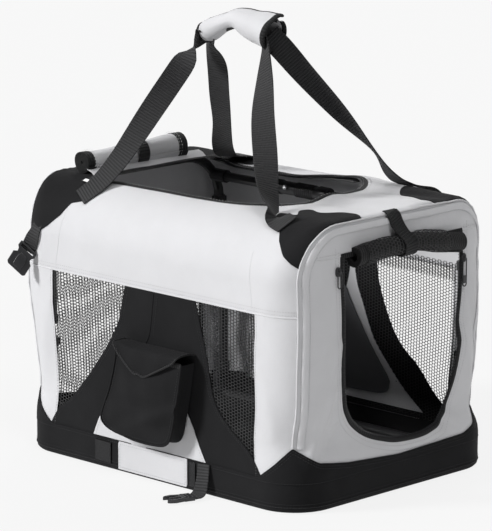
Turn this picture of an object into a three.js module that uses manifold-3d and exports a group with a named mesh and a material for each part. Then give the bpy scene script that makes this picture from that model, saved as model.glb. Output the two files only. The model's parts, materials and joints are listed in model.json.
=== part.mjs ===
// Soft-sided pet carrier bag: a fabric loaf on a folding tube frame.
// Millimetres. X runs along the long side, +X is the end with the open door, -Y is the front with
// the pocket, +Z is up. The origin is the centre of the flat bottom.
import * as THREE from 'three';
import { mergeVertices } from 'three/addons/utils/BufferGeometryUtils.js';
import Module from 'manifold-3d';

const wasm = await Module();
wasm.setup();

// ---------------------------------------------------------------- driving dimensions
const LENGTH = 615;
const WIDTH = 455;
const HEIGHT = 440;
const CORNER_RADIUS = 70; // upright corners, in plan
const SHOULDER_RADIUS = 90; // long top edges, seen from the end
const FABRIC = 3;
const GAP = 0.3; // running gap between neighbouring pieces

const BASE_HEIGHT = 51; // black band round the floor
const WALL_TOP = 350; // where the side walls end and the shoulders begin
const END_SEAM = 388; // cross seam above the door
const PANEL_X = 262; // where side walls meet end walls

const TUBE_RADIUS = 8;
const TUBE_BORE = 6.5;
const SOCKET_RADIUS = 10;
const SOCKET_DEPTH = 14; // how far a socket reaches along its tube
const PIVOT_X = 274; // all post pivots and both hoops stand in this plane
const POST_Y = 194;
const POST_OFFSET = 10; // post tubes stand this far inside their pivots, so they fold flat
const BASE_PIVOT_Z = 46;
const TOP_PIVOT_Z = 336;
const POST_HALF = (TOP_PIVOT_Z - BASE_PIVOT_Z) / 2;
const KNEE_Z = BASE_PIVOT_Z + POST_HALF;
const TUBE_SETBACK = 12; // from a pivot to the end of its tube
const EAR_RADIUS = 8;
const EAR_SHOULDER = 1.5; // an ear widens by this much before it meets its tube
const EAR_LAP = 12; // an ear or tongue runs this far along its tube
const TONGUE_HALF = 5;
const EAR_INNER = TONGUE_HALF + GAP;
const EAR_OUTER = EAR_INNER + 4;
const PIN_RADIUS = 3;
const PIN_HOLE = PIN_RADIUS + GAP;
const PIN_HEAD = { radius: 4.2, height: 2 };

const HOOP_TOP = 428;
const HOOP_BEND = 78;
const RAIL_Z = 392;
const RAIL_SPLIT_X = -85;
const RAIL_PLUG = 30; // length of the stub on each hoop that a rail pushes into
const RAIL_SEAT = 9; // a rail stops this far short of the hoop's middle
const BASE_RAIL_Z = 17;

const BOARD_THICK = 4;
const MAT = { halfLength: 262, halfWidth: 181, radius: 24, low: 8, high: 32 };
const FRONT_PATCH = { left: -74, right: 77, low: 6, high: 50, thick: 1.5 };
const FOOT = { radius: 13, low: 8, high: 26 }; // boss under each post
const FOOT_EAR = { radius: 6.5, low: 20 };

const SLEEVE_LENGTH = 150;
const SLEEVE_RADIUS = 11;
const SLEEVE_RIM = { length: 20, height: 1.5 };
const BUTTON_X = -99;
const BUTTON_TILT = THREE.MathUtils.degToRad(17);
const BUTTON_RADIUS = 4.2;
const BUTTON_CAP_RADIUS = 3.1;
const BUTTON_POCKET_RADIUS = 4.6;
const BUTTON_BOSS_RADIUS = 7;

const DOOR_HALF_WIDTH = 136;
const DOOR_BOTTOM = 77;
const DOOR_BOTTOM_RADIUS = 95;
const DOOR_ROLL = { radius: 14, bore: 4, front: [310, -115, 371], rear: [310, 133, 363] };
const DOOR_STRAP = { front: -32, rear: -4 };
const DOOR_SLIDER = { halfWidth: 5, halfHeight: 7, thick: 4 };
const DOOR_PULL = { drop: 38, halfWidth: 5.5, neckHalf: 3, neck: 14, thick: 2 };

const TOP_OPENING = { left: -215, right: 160, front: -155, rear: 130, radius: 70 };

const WEBBING = 38;
const STRAP_WEB = 25;
const HANDLE_Z = 683;
const HANDLE_X = [-112, 63];
const HANDLE_RADIUS = 29;
const HANDLE_SLOT = { half: 20, height: 6 }; // passage for the straps through the padded cover
const LEG_TOP = { y: 12, drop: 3 };
const LEG_ROOT = { left: -165, right: 212, y: 201, z: 421 };

// ---------------------------------------------------------------- materials
const material = (color, roughness, metalness = 0) =>
  new THREE.MeshStandardMaterial({ color, roughness, metalness });
const GREY_CLOTH = material(0xd9d9dc, 0.85);
const BLACK_CLOTH = material(0x1c1c1e, 0.9);
const BLACK_MESH = material(0x141416, 0.95);
const TUBE_BLACK = material(0x111214, 0.35, 0.3);
const MOULDED_BLACK = material(0x17181a, 0.45);
const WEBBING_BLACK = material(0x19191b, 0.85);
const STEEL = material(0xb9bcc2, 0.25, 1);

// ---------------------------------------------------------------- solids and placing
const carrier = new THREE.Group();

function toSolid(geometry) {
  const bare = geometry.clone();
  bare.deleteAttribute('normal');
  bare.deleteAttribute('uv');
  const merged = mergeVertices(bare, 1e-4);
  return new wasm.Manifold(new wasm.Mesh({
    numProp: 3,
    vertProperties: new Float32Array(merged.attributes.position.array),
    triVerts: new Uint32Array(merged.index.array),
  }));
}

function toGeometry(solid) {
  const mesh = solid.getMesh();
  const geometry = new THREE.BufferGeometry();
  const positions = new Float32Array(mesh.numVert * 3);
  for (let i = 0; i < mesh.numVert; i++) {
    for (let k = 0; k < 3; k++) positions[3 * i + k] = mesh.vertProperties[mesh.numProp * i + k];
  }
  geometry.setAttribute('position', new THREE.BufferAttribute(positions, 3));
  geometry.setIndex(new THREE.BufferAttribute(new Uint32Array(mesh.triVerts), 1));
  return geometry;
}

function join(...geometries) {
  return geometries.map(toSolid).reduce((sum, one) => sum.add(one));
}

function addPart(name, shape, look) {
  const geometry = shape instanceof THREE.BufferGeometry ? shape : toGeometry(shape);
  const mesh = new THREE.Mesh(geometry, look);
  mesh.name = name;
  carrier.add(mesh);
  return mesh;
}

function box(x0, x1, y0, y1, z0, z1) {
  const geometry = new THREE.BoxGeometry(x1 - x0, y1 - y0, z1 - z0);
  return geometry.translate((x0 + x1) / 2, (y0 + y1) / 2, (z0 + z1) / 2);
}

// Points on an arc from one angle to another, in degrees.
function arc(cx, cy, radius, from, to, steps) {
  const points = [];
  for (let i = 0; i <= steps; i++) {
    const angle = THREE.MathUtils.degToRad(from + ((to - from) * i) / steps);
    points.push(new THREE.Vector2(cx + radius * Math.cos(angle), cy + radius * Math.sin(angle)));
  }
  return points;
}

function roundedRectangle(x0, x1, y0, y1, radius, steps = 5) {
  return [
    ...arc(x1 - radius, y1 - radius, radius, 0, 90, steps),
    ...arc(x0 + radius, y1 - radius, radius, 90, 180, steps),
    ...arc(x0 + radius, y0 + radius, radius, 180, 270, steps),
    ...arc(x1 - radius, y0 + radius, radius, 270, 360, steps),
  ];
}

function extrude(points, depth, holes = []) {
  const outline = new THREE.Shape(points);
  for (const hole of holes) outline.holes.push(new THREE.Path(hole));
  return new THREE.ExtrudeGeometry(outline, { depth, bevelEnabled: false, steps: 1 });
}

// An outline in X and Y, raised from z0 to z1.
function slab(points, z0, z1, holes = []) {
  return extrude(points, z1 - z0, holes).translate(0, 0, z0);
}

// An outline in X and Z, from y0 to y1.
function plate(points, y0, y1, holes = []) {
  const turn = new THREE.Matrix4().makeBasis(
    new THREE.Vector3(1, 0, 0), new THREE.Vector3(0, 0, 1), new THREE.Vector3(0, -1, 0));
  return extrude(points, y1 - y0, holes).applyMatrix4(turn).translate(0, y1, 0);
}

// An outline in Y and Z, from x0 to x1.
function section(points, x0, x1, holes = []) {
  const turn = new THREE.Matrix4().makeBasis(
    new THREE.Vector3(0, 1, 0), new THREE.Vector3(0, 0, 1), new THREE.Vector3(1, 0, 0));
  return extrude(points, x1 - x0, holes).applyMatrix4(turn).translate(x0, 0, 0);
}

// A rod between two points, with an optional bore.
function rod(from, to, radius, bore = 0, sides = 12) {
  const start = new THREE.Vector3(...from);
  const end = new THREE.Vector3(...to);
  const length = start.distanceTo(end);
  const holes = bore > 0 ? [arc(0, 0, bore, 0, 360 - 360 / sides, sides - 1)] : [];
  const geometry = extrude(arc(0, 0, radius, 0, 360 - 360 / sides, sides - 1), length, holes);
  const aim = new THREE.Quaternion().setFromUnitVectors(
    new THREE.Vector3(0, 0, 1), end.clone().sub(start).normalize());
  return geometry.applyQuaternion(aim).translate(...from);
}

// A round bar along a curve.
function barAlong(curve, radius, steps, sides = 12) {
  const outline = new THREE.Shape(arc(0, 0, radius, 0, 360 - 360 / sides, sides - 1));
  return new THREE.ExtrudeGeometry(outline, { extrudePath: curve, steps, bevelEnabled: false });
}

// A flat strap through stations { p: centre, s: half-width vector }, as one closed solid.
function ribbon(stations, thickness) {
  const centres = stations.map((one) => new THREE.Vector3(...one.p));
  const sides = stations.map((one) => new THREE.Vector3(...one.s));
  const positions = [];
  centres.forEach((centre, i) => {
    const before = centres[Math.max(i - 1, 0)];
    const after = centres[Math.min(i + 1, centres.length - 1)];
    const tangent = after.clone().sub(before);
    const normal = new THREE.Vector3().crossVectors(tangent, sides[i]);
    normal.setLength(thickness / 2);
    for (const [a, b] of [[-1, -1], [1, -1], [1, 1], [-1, 1]]) {
      positions.push(...centre.clone().addScaledVector(sides[i], a).addScaledVector(normal, b));
    }
  });
  const index = [];
  const last = 4 * (centres.length - 1);
  for (let i = 0; i < centres.length - 1; i++) {
    for (let k = 0; k < 4; k++) {
      const a = 4 * i + k;
      const b = 4 * i + ((k + 1) % 4);
      index.push(a, b, b + 4, a, b + 4, a + 4);
    }
  }
  index.push(0, 2, 1, 0, 3, 2, last, last + 1, last + 2, last, last + 2, last + 3);
  const geometry = new THREE.BufferGeometry();
  geometry.setAttribute('position', new THREE.BufferAttribute(new Float32Array(positions), 3));
  geometry.setIndex(index);
  return facingOut(geometry);
}

// Turns every triangle over when the closed surface encloses a negative volume.
function facingOut(geometry) {
  const p = geometry.attributes.position;
  const order = geometry.index.array;
  const corners = [new THREE.Vector3(), new THREE.Vector3(), new THREE.Vector3()];
  let volume = 0;
  for (let i = 0; i < order.length; i += 3) {
    corners.forEach((corner, k) => corner.fromBufferAttribute(p, order[i + k]));
    volume += corners[0].dot(corners[1].clone().cross(corners[2]));
  }
  if (volume < 0) {
    for (let i = 0; i < order.length; i += 3) {
      const swap = order[i + 1];
      order[i + 1] = order[i + 2];
      order[i + 2] = swap;
    }
  }
  return geometry;
}

// ---------------------------------------------------------------- fabric body
// The loaf is the plan outline raised to the full height, cut to the arched end section.
function loaf(inset, floor) {
  const plan = slab(
    roundedRectangle(-LENGTH / 2 + inset, LENGTH / 2 - inset, -WIDTH / 2 + inset, WIDTH / 2 - inset,
      CORNER_RADIUS - inset),
    floor, HEIGHT - inset);
  const half = WIDTH / 2 - inset;
  const radius = SHOULDER_RADIUS - inset;
  const top = HEIGHT - inset;
  const arch = section([
    ...arc(half - radius, top - radius, radius, 0, 90, 6),
    ...arc(-half + radius, top - radius, radius, 90, 180, 6),
    new THREE.Vector2(-half, floor),
    new THREE.Vector2(half, floor),
  ], -LENGTH / 2 + inset, LENGTH / 2 - inset);
  return toSolid(plan).intersect(toSolid(arch));
}

function doorOutline() {
  return [
    new THREE.Vector2(DOOR_HALF_WIDTH, END_SEAM + GAP),
    new THREE.Vector2(-DOOR_HALF_WIDTH, END_SEAM + GAP),
    ...arc(-DOOR_HALF_WIDTH + DOOR_BOTTOM_RADIUS, DOOR_BOTTOM + DOOR_BOTTOM_RADIUS,
      DOOR_BOTTOM_RADIUS, 180, 270, 6),
    ...arc(DOOR_HALF_WIDTH - DOOR_BOTTOM_RADIUS, DOOR_BOTTOM + DOOR_BOTTOM_RADIUS,
      DOOR_BOTTOM_RADIUS, 270, 360, 6),
  ];
}

function topOpeningOutline() {
  const { left, right, front, rear, radius } = TOP_OPENING;
  return [
    new THREE.Vector2(left, rear),
    new THREE.Vector2(left, front),
    ...arc(right - radius, front + radius, radius, 270, 360, 5),
    ...arc(right - radius, rear - radius, radius, 0, 90, 5),
  ];
}

function buildFabricBody() {
  const shell = loaf(0, 0).subtract(loaf(FABRIC, FABRIC));
  const reach = LENGTH;
  const wallLow = BASE_HEIGHT + GAP;
  const cut = (...bounds) => shell.intersect(toSolid(box(...bounds)));
  const sideWall = (y0, y1) => cut(-PANEL_X + GAP, PANEL_X - GAP, y0, y1, wallLow, WALL_TOP - GAP);
  const end = (x0, x1) => cut(x0, x1, -reach, reach, wallLow, END_SEAM - GAP);

  addPart('base_cover', cut(-reach, reach, -reach, reach, -1, BASE_HEIGHT), BLACK_CLOTH);
  addPart('wall_front', sideWall(-reach, 0), GREY_CLOTH);
  addPart('wall_rear', sideWall(0, reach), GREY_CLOTH);
  addPart('wall_left', end(-reach, -PANEL_X), GREY_CLOTH);
  const doorway = toSolid(section(doorOutline(), PANEL_X, reach));
  addPart('wall_right', end(PANEL_X, reach).subtract(doorway), GREY_CLOTH);

  const shoulders = cut(-PANEL_X + GAP, PANEL_X - GAP, -reach, reach, WALL_TOP, reach);
  const endStrips = cut(-reach, reach, -reach, reach, END_SEAM, reach);
  const opening = toSolid(slab(topOpeningOutline(), HEIGHT - 20, HEIGHT + 20));
  const top = shoulders.add(endStrips).subtract(opening);
  const fold = WIDTH / 2 - SHOULDER_RADIUS;
  const across = (y0, y1) => top.intersect(toSolid(box(-reach, reach, y0, y1, 0, reach)));
  addPart('top_panel', across(-fold + GAP, fold - GAP), GREY_CLOTH);
  addPart('shoulder_front', across(-reach, -fold), GREY_CLOTH);
  addPart('shoulder_rear', across(fold, reach), GREY_CLOTH);
}

// ---------------------------------------------------------------- base
function buildBase() {
  const side = FABRIC + 2;
  addPart('base_board', slab(
    roundedRectangle(-LENGTH / 2 + side, LENGTH / 2 - side, -WIDTH / 2 + side, WIDTH / 2 - side,
      CORNER_RADIUS - side),
    FABRIC + GAP, FABRIC + GAP + BOARD_THICK), MOULDED_BLACK);
  const { halfLength, halfWidth, radius } = MAT;
  const mat = roundedRectangle(-halfLength, halfLength, -halfWidth, halfWidth, radius, 3);
  addPart('floor_mat', slab(mat, MAT.low, MAT.high), BLACK_CLOTH);
  // A blank patch of light cloth sewn to the front of the base band.
  const front = -WIDTH / 2 - GAP;
  const { left, right, low, high, thick } = FRONT_PATCH;
  addPart('front_patch', box(left, right, front - thick, front, low, high), GREY_CLOTH);
}

// Shape of a pivot ear or tongue: round the pivot, then out to a tube that stands to one side.
// side is +1 when the tube is above the pivot and -1 when it is below.
function earOutline(sx, pivotZ, side) {
  const near = POST_OFFSET - TUBE_RADIUS;
  const far = POST_OFFSET + TUBE_RADIUS;
  const points = [
    ...arc(0, 0, EAR_RADIUS, 170, 360, 8),
    new THREE.Vector2(EAR_RADIUS + EAR_SHOULDER, TUBE_SETBACK - 1.2),
    new THREE.Vector2(far, TUBE_SETBACK),
    new THREE.Vector2(far, TUBE_SETBACK + EAR_LAP),
    new THREE.Vector2(near, TUBE_SETBACK + EAR_LAP),
    new THREE.Vector2(near, TUBE_SETBACK),
  ];
  return points.map((p) => new THREE.Vector2(sx * (PIVOT_X - p.x), pivotZ + side * p.y));
}

function pinHole(sx, sy, z) {
  const x = sx * PIVOT_X;
  return toSolid(rod([x, sy * POST_Y - 30, z], [x, sy * POST_Y + 30, z], PIN_HOLE));
}

function ears(outline, sy) {
  return [[EAR_INNER, EAR_OUTER], [-EAR_OUTER, -EAR_INNER]].map(([a, b]) =>
    plate(outline, sy * POST_Y + a, sy * POST_Y + b));
}

function tongue(outline, sy) {
  return plate(outline, sy * POST_Y - TONGUE_HALF, sy * POST_Y + TONGUE_HALF);
}

// A tube with a moulded socket at each end.
function postTube(sx, sy, low, high) {
  const x = sx * (PIVOT_X - POST_OFFSET);
  const y = sy * POST_Y;
  const start = low + TUBE_SETBACK;
  const stop = high - TUBE_SETBACK;
  return [
    rod([x, y, start], [x, y, stop], TUBE_RADIUS),
    rod([x, y, start], [x, y, start + SOCKET_DEPTH], SOCKET_RADIUS),
    rod([x, y, stop - SOCKET_DEPTH], [x, y, stop], SOCKET_RADIUS),
  ];
}

function buildPost(corner, sx, sy) {
  const foot = earOutline(sx, BASE_PIVOT_Z, 1);
  const kneeLow = earOutline(sx, KNEE_Z, -1);
  const lower = join(...postTube(sx, sy, BASE_PIVOT_Z, KNEE_Z), tongue(foot, sy),
    ...ears(kneeLow, sy));
  addPart(`post_lower_${corner}`,
    lower.subtract(pinHole(sx, sy, BASE_PIVOT_Z)).subtract(pinHole(sx, sy, KNEE_Z)), TUBE_BLACK);

  const kneeHigh = earOutline(sx, KNEE_Z, 1);
  const head = earOutline(sx, TOP_PIVOT_Z, -1);
  const upper = join(...postTube(sx, sy, KNEE_Z, TOP_PIVOT_Z), tongue(kneeHigh, sy),
    tongue(head, sy));
  addPart(`post_upper_${corner}`,
    upper.subtract(pinHole(sx, sy, KNEE_Z)).subtract(pinHole(sx, sy, TOP_PIVOT_Z)), TUBE_BLACK);

  const under = EAR_OUTER + GAP;
  const over = under + PIN_HEAD.height;
  const profile = [[0, -over], [PIN_HEAD.radius, -over], [PIN_HEAD.radius, -under],
    [PIN_RADIUS, -under], [PIN_RADIUS, under], [PIN_HEAD.radius, under], [PIN_HEAD.radius, over],
    [0, over]];
  const pin = new THREE.LatheGeometry(profile.map(([r, y]) => new THREE.Vector2(r, y)), 12);
  addPart(`knee_pin_${corner}`, toSolid(pin.translate(sx * PIVOT_X, sy * POST_Y, KNEE_Z)), STEEL);
}

// A foot moulding: a boss on the board with two ears and the pin that the post turns on.
function buildBaseCorner(corner, sx, sy) {
  const x = sx * PIVOT_X;
  const y = sy * POST_Y;
  const earShape = [
    ...arc(x, BASE_PIVOT_Z, FOOT_EAR.radius, 0, 180, 6),
    new THREE.Vector2(x - FOOT_EAR.radius, FOOT_EAR.low),
    new THREE.Vector2(x + FOOT_EAR.radius, FOOT_EAR.low),
  ];
  addPart(`base_corner_${corner}`, join(
    rod([x, y, FOOT.low], [x, y, FOOT.high], FOOT.radius),
    ...ears(earShape, sy),
    rod([x, y - EAR_OUTER, BASE_PIVOT_Z], [x, y + EAR_OUTER, BASE_PIVOT_Z], PIN_RADIUS),
  ), MOULDED_BLACK);
}

function buildBaseRails() {
  const x = PIVOT_X - FOOT.radius - GAP;
  const y = POST_Y - FOOT.radius - GAP;
  const z = BASE_RAIL_Z;
  const tube = (from, to) => rod(from, to, TUBE_RADIUS, TUBE_BORE);
  addPart('base_rail_front', tube([-x, -POST_Y, z], [x, -POST_Y, z]), TUBE_BLACK);
  addPart('base_rail_rear', tube([-x, POST_Y, z], [x, POST_Y, z]), TUBE_BLACK);
  addPart('base_rail_left', tube([-PIVOT_X, -y, z], [-PIVOT_X, y, z]), TUBE_BLACK);
  addPart('base_rail_right', tube([PIVOT_X, -y, z], [PIVOT_X, y, z]), TUBE_BLACK);
}

// ---------------------------------------------------------------- top frame
const BEND_Y = POST_Y - HOOP_BEND;
const BEND_Z = HOOP_TOP - HOOP_BEND;
const BEND_STEPS = 7;
const RAIL_Y = BEND_Y + Math.sqrt(HOOP_BEND ** 2 - (RAIL_Z - BEND_Z) ** 2);

// The hoop's middle line: up one leg, round a bend, across the top and down the other side.
// It is sampled exactly at its corner points, so the straight stretches cost nothing.
class HoopLine extends THREE.Curve {
  constructor(x) {
    super();
    this.stations = [
      new THREE.Vector2(-POST_Y, TOP_PIVOT_Z + TUBE_SETBACK),
      ...arc(-BEND_Y, BEND_Z, HOOP_BEND, 180, 90, BEND_STEPS),
      ...arc(BEND_Y, BEND_Z, HOOP_BEND, 90, 0, BEND_STEPS),
      new THREE.Vector2(POST_Y, TOP_PIVOT_Z + TUBE_SETBACK),
    ].map((p) => new THREE.Vector3(x, p.x, p.y));
  }

  getPointAt(u) {
    const place = u * (this.stations.length - 1);
    const i = Math.min(Math.floor(place), this.stations.length - 2);
    return this.stations[i].clone().lerp(this.stations[i + 1], place - i);
  }

  getTangentAt(u) {
    const i = Math.round(u * (this.stations.length - 1));
    const before = this.stations[Math.max(i - 1, 0)];
    const after = this.stations[Math.min(i + 1, this.stations.length - 1)];
    return after.clone().sub(before).normalize();
  }
}

function buildHoop(name, sx) {
  const x = sx * PIVOT_X;
  const line = new HoopLine(x);
  let hoop = toSolid(barAlong(line, TUBE_RADIUS, line.stations.length - 1));
  for (const sy of [-1, 1]) {
    const y = sy * POST_Y;
    const fork = [
      ...arc(x, TOP_PIVOT_Z, EAR_RADIUS, 180, 360, 8),
      new THREE.Vector2(x + EAR_RADIUS, TOP_PIVOT_Z + TUBE_SETBACK + 6),
      new THREE.Vector2(x - EAR_RADIUS, TOP_PIVOT_Z + TUBE_SETBACK + 6),
    ];
    const railPlug = sx * (PIVOT_X - RAIL_PLUG);
    hoop = hoop
      .add(join(
        rod([x, y, TOP_PIVOT_Z + 11], [x, y, TOP_PIVOT_Z + 20], SOCKET_RADIUS),
        ...ears(fork, sy),
        rod([x, y - EAR_OUTER, TOP_PIVOT_Z], [x, y + EAR_OUTER, TOP_PIVOT_Z], PIN_RADIUS),
      ))
      .add(toSolid(rod([x, sy * RAIL_Y, RAIL_Z], [railPlug, sy * RAIL_Y, RAIL_Z], SLEEVE_RADIUS)))
      .subtract(toSolid(rod([x - sx * RAIL_SEAT, sy * RAIL_Y, RAIL_Z],
        [railPlug - sx, sy * RAIL_Y, RAIL_Z], TUBE_RADIUS + GAP)));
  }
  addPart(name, hoop, TUBE_BLACK);
}

function buildRails(side, sy) {
  const y = sy * RAIL_Y;
  const reach = PIVOT_X - RAIL_SEAT - GAP;
  const left = [[-reach, y, RAIL_Z], [RAIL_SPLIT_X - GAP, y, RAIL_Z]];
  const right = [[RAIL_SPLIT_X + GAP, y, RAIL_Z], [reach, y, RAIL_Z]];
  addPart(`rail_${side}_left`, rod(...left, TUBE_RADIUS, TUBE_BORE), TUBE_BLACK);
  addPart(`rail_${side}_right`, rod(...right, TUBE_RADIUS, TUBE_BORE), TUBE_BLACK);
}

// A collar over the split in the rail, with a pocket for its spring button.
function buildSleeve(side, sy) {
  const bore = TUBE_RADIUS + GAP;
  const start = RAIL_SPLIT_X - SLEEVE_LENGTH / 2;
  const rimStart = SLEEVE_LENGTH - SLEEVE_RIM.length;
  const rimRadius = SLEEVE_RADIUS + SLEEVE_RIM.height;
  const profile = [[bore, 0], [SLEEVE_RADIUS, 0], [SLEEVE_RADIUS, rimStart - 2],
    [rimRadius, rimStart], [rimRadius, SLEEVE_LENGTH], [bore, SLEEVE_LENGTH], [bore, 0]];
  const ring = new THREE.LatheGeometry(profile.map(([r, y]) => new THREE.Vector2(r, y)), 12);
  ring.rotateZ(-Math.PI / 2).translate(start, sy * RAIL_Y, RAIL_Z);
  const aim = new THREE.Vector3(0, -Math.cos(BUTTON_TILT), Math.sin(BUTTON_TILT));
  const centre = new THREE.Vector3(BUTTON_X, sy * RAIL_Y, RAIL_Z);
  const at = (d) => centre.clone().addScaledVector(aim, d).toArray();
  const sleeve = toSolid(facingOut(mergeRing(ring)))
    .add(toSolid(rod(at(bore + 0.6), at(SLEEVE_RADIUS + 2.5), BUTTON_BOSS_RADIUS)))
    .subtract(toSolid(rod(at(bore + 1.4), at(SLEEVE_RADIUS + 10), BUTTON_POCKET_RADIUS)));
  addPart(`rail_sleeve_${side}`, sleeve, MOULDED_BLACK);

  const foot = bore + 1.7;
  const crown = SLEEVE_RADIUS + 3.6;
  addPart(`snap_button_${side}`, join(
    rod(at(foot + 2), at(crown), BUTTON_RADIUS),
    rod(at(crown - 0.5), at(crown + 1), BUTTON_CAP_RADIUS),
  ), STEEL);
}

function mergeRing(geometry) {
  const bare = geometry.clone();
  bare.deleteAttribute('normal');
  bare.deleteAttribute('uv');
  return mergeVertices(bare, 1e-4);
}

// ---------------------------------------------------------------- rolled covers and their straps
const FLAP_ROLL = {
  front: new THREE.Vector3(-248, -150, 458),
  rear: new THREE.Vector3(-238, 92, 463),
  frontRadius: 15,
  rearRadius: 20,
};
// The band round the rolled flap, placed by its share of the roll's length, and the bore through it.
const FLAP_BAND = {
  from: 0.51,
  to: 0.61,
  radii: [19.6, 20.1],
  cutFrom: 0.4,
  cutTo: 0.72,
  cutRadii: [17, 18.7],
};

function taperedRoll(from, to, r0, r1, sides = 12) {
  const length = from.distanceTo(to);
  const profile = [[0, 0], [r0, 0], [r1, length], [0, length]].map(([r, y]) => new THREE.Vector2(r, y));
  const roll = new THREE.LatheGeometry(profile, sides);
  const aim = new THREE.Quaternion().setFromUnitVectors(
    new THREE.Vector3(0, 1, 0), to.clone().sub(from).normalize());
  return roll.applyQuaternion(aim).translate(...from.toArray());
}

function buildRolls() {
  const { front, rear, frontRadius, rearRadius } = FLAP_ROLL;
  addPart('top_flap_roll', toSolid(taperedRoll(front, rear, frontRadius, rearRadius)), GREY_CLOTH);

  const along = (t) => front.clone().lerp(rear, t);
  const slack = GAP + 0.2;
  const { from, to, radii, cutFrom, cutTo, cutRadii } = FLAP_BAND;
  const band = toSolid(taperedRoll(along(from), along(to), ...radii))
    .subtract(toSolid(taperedRoll(along(cutFrom), along(cutTo), cutRadii[0] + slack,
      cutRadii[1] + slack)));
  addPart('flap_band', band, BLACK_CLOTH);

  addPart('door_roll', rod(DOOR_ROLL.front, DOOR_ROLL.rear, DOOR_ROLL.radius, DOOR_ROLL.bore),
    BLACK_MESH);

  // A webbing loop from the top seam, down over the rolled door and up again inside.
  const loop = [
    [309.5, 434], [311.5, 434], [314.5, 400], [327.5, 378], [328, 360], [318, 348.5],
    [302, 348.5], [292, 360], [292, 396], [294, 396], [294, 361], [303, 350.7], [317, 350.7],
    [325.7, 361], [325.2, 377], [312.4, 399],
  ];
  const outline = loop.map(([x, z]) => new THREE.Vector2(x, z));
  addPart('door_band', plate(outline, DOOR_STRAP.front, DOOR_STRAP.rear), WEBBING_BLACK);
}

function buildDoorSlider(side, y, z) {
  const face = LENGTH / 2 + 0.8;
  const { halfWidth, halfHeight, thick } = DOOR_SLIDER;
  const outside = face + thick;
  const slider = join(
    box(face, outside, y - halfWidth, y + halfWidth, z - halfHeight, z + halfHeight),
    box(outside - 0.5, outside + 2, y - 2, y + 2, z - 1, z + 6),
  );
  addPart(`door_slider_${side}`, slider, MOULDED_BLACK);
  const top = z - 1.8 - GAP;
  const { drop, neck, neckHalf, halfWidth: half } = DOOR_PULL;
  const outline = [
    new THREE.Vector2(y - neckHalf, top),
    new THREE.Vector2(y - neckHalf, top - neck),
    new THREE.Vector2(y - half, top - neck - 4),
    new THREE.Vector2(y - half, top - drop),
    new THREE.Vector2(y + half, top - drop),
    new THREE.Vector2(y + half, top - neck - 4),
    new THREE.Vector2(y + neckHalf, top - neck),
    new THREE.Vector2(y + neckHalf, top),
  ];
  const inside = outside + 0.4;
  addPart(`door_pull_${side}`, section(outline, inside, inside + DOOR_PULL.thick), MOULDED_BLACK);
}

// ---------------------------------------------------------------- handle
function buildHandle() {
  const [x0, x1] = HANDLE_X;
  const around = arc(0, HANDLE_Z, HANDLE_RADIUS, 0, 360 - 360 / 20, 19);
  const a = HANDLE_SLOT.half;
  const b = HANDLE_SLOT.height / 2;
  const slot = [[-a, -b], [a, -b], [a, b], [-a, b]]
    .map(([y, dz]) => new THREE.Vector2(y, HANDLE_Z + dz));
  addPart('handle_wrap', section(around, x0, x1, [slot]), GREY_CLOTH);

  // Each leg is one straight flat strap beside the end of the wrap, down to the shoulder seam.
  const half = WEBBING / 2;
  const beside = half + 1;
  for (const [side, sy] of [['front', -1], ['rear', 1]]) {
    for (const [end, topX] of [['left', x0 - beside], ['right', x1 + beside]]) {
      addPart(`handle_leg_${side}_${end}`, ribbon([
        { p: [topX, sy * LEG_TOP.y, HANDLE_Z - LEG_TOP.drop], s: [half, 0, 0] },
        { p: [LEG_ROOT[end], sy * LEG_ROOT.y, LEG_ROOT.z], s: [half, 0, 0] },
      ], 2), WEBBING_BLACK);
    }
  }
}

// ---------------------------------------------------------------- front pocket
const POCKET = { left: -84, right: 94, low: 64, high: 205, back: -231, front: -260, wall: 2 };

function pocketOutline(inset) {
  const { left, right, low, high } = POCKET;
  const radius = 22 - inset;
  return [
    new THREE.Vector2(right - inset - 4, high - inset),
    new THREE.Vector2(left + inset + 24, high - inset),
    ...arc(left + inset + radius, low + inset + radius, radius, 180, 270, 4),
    ...arc(right - inset - radius, low + inset + radius, radius, 270, 360, 4),
  ];
}

function buildPocket() {
  const { back, front, wall, high } = POCKET;
  const mouth = pocketOutline(wall);
  mouth[0].y = high + 5;
  mouth[1].y = high + 5;
  const body = toSolid(plate(pocketOutline(0), front, back))
    .subtract(toSolid(plate(mouth, front + wall, back - wall)));
  addPart('pocket_body', body, BLACK_CLOTH);

  const lip = high + 2;
  const flapSection = [
    [back + 2, lip + 8], [back + 2, lip + 10], [front + 2, lip + 3], [front - 4, lip - 2],
    [front - 5, 176], [front - 3, 176], [front - 2, lip - 3], [front + 3, lip + 1],
  ].map(([y, z]) => new THREE.Vector2(y, z));
  addPart('pocket_flap', section(flapSection, -56, 94), BLACK_CLOTH);
}

// ---------------------------------------------------------------- side-release buckle
// The two halves lie in local axes: X across the strap, Y from the strap to the open end, Z up.
function femaleBuckle() {
  const outline = [
    [-14, 0], [14, 0], [16, 4], [14, 12], [17, 20], [19, 42], [-19, 42], [-17, 20], [-14, 12], [-16, 4],
  ].map(([x, y]) => new THREE.Vector2(x, y));
  const slot = [[-12.8, 3], [12.8, 3], [12.8, 7.5], [-12.8, 7.5]].map(([x, y]) => new THREE.Vector2(x, y));
  return toSolid(slab(outline, -5, 5, [slot])).subtract(toSolid(box(-13, 13, 20, 50, -2.6, 2.6)));
}

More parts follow.
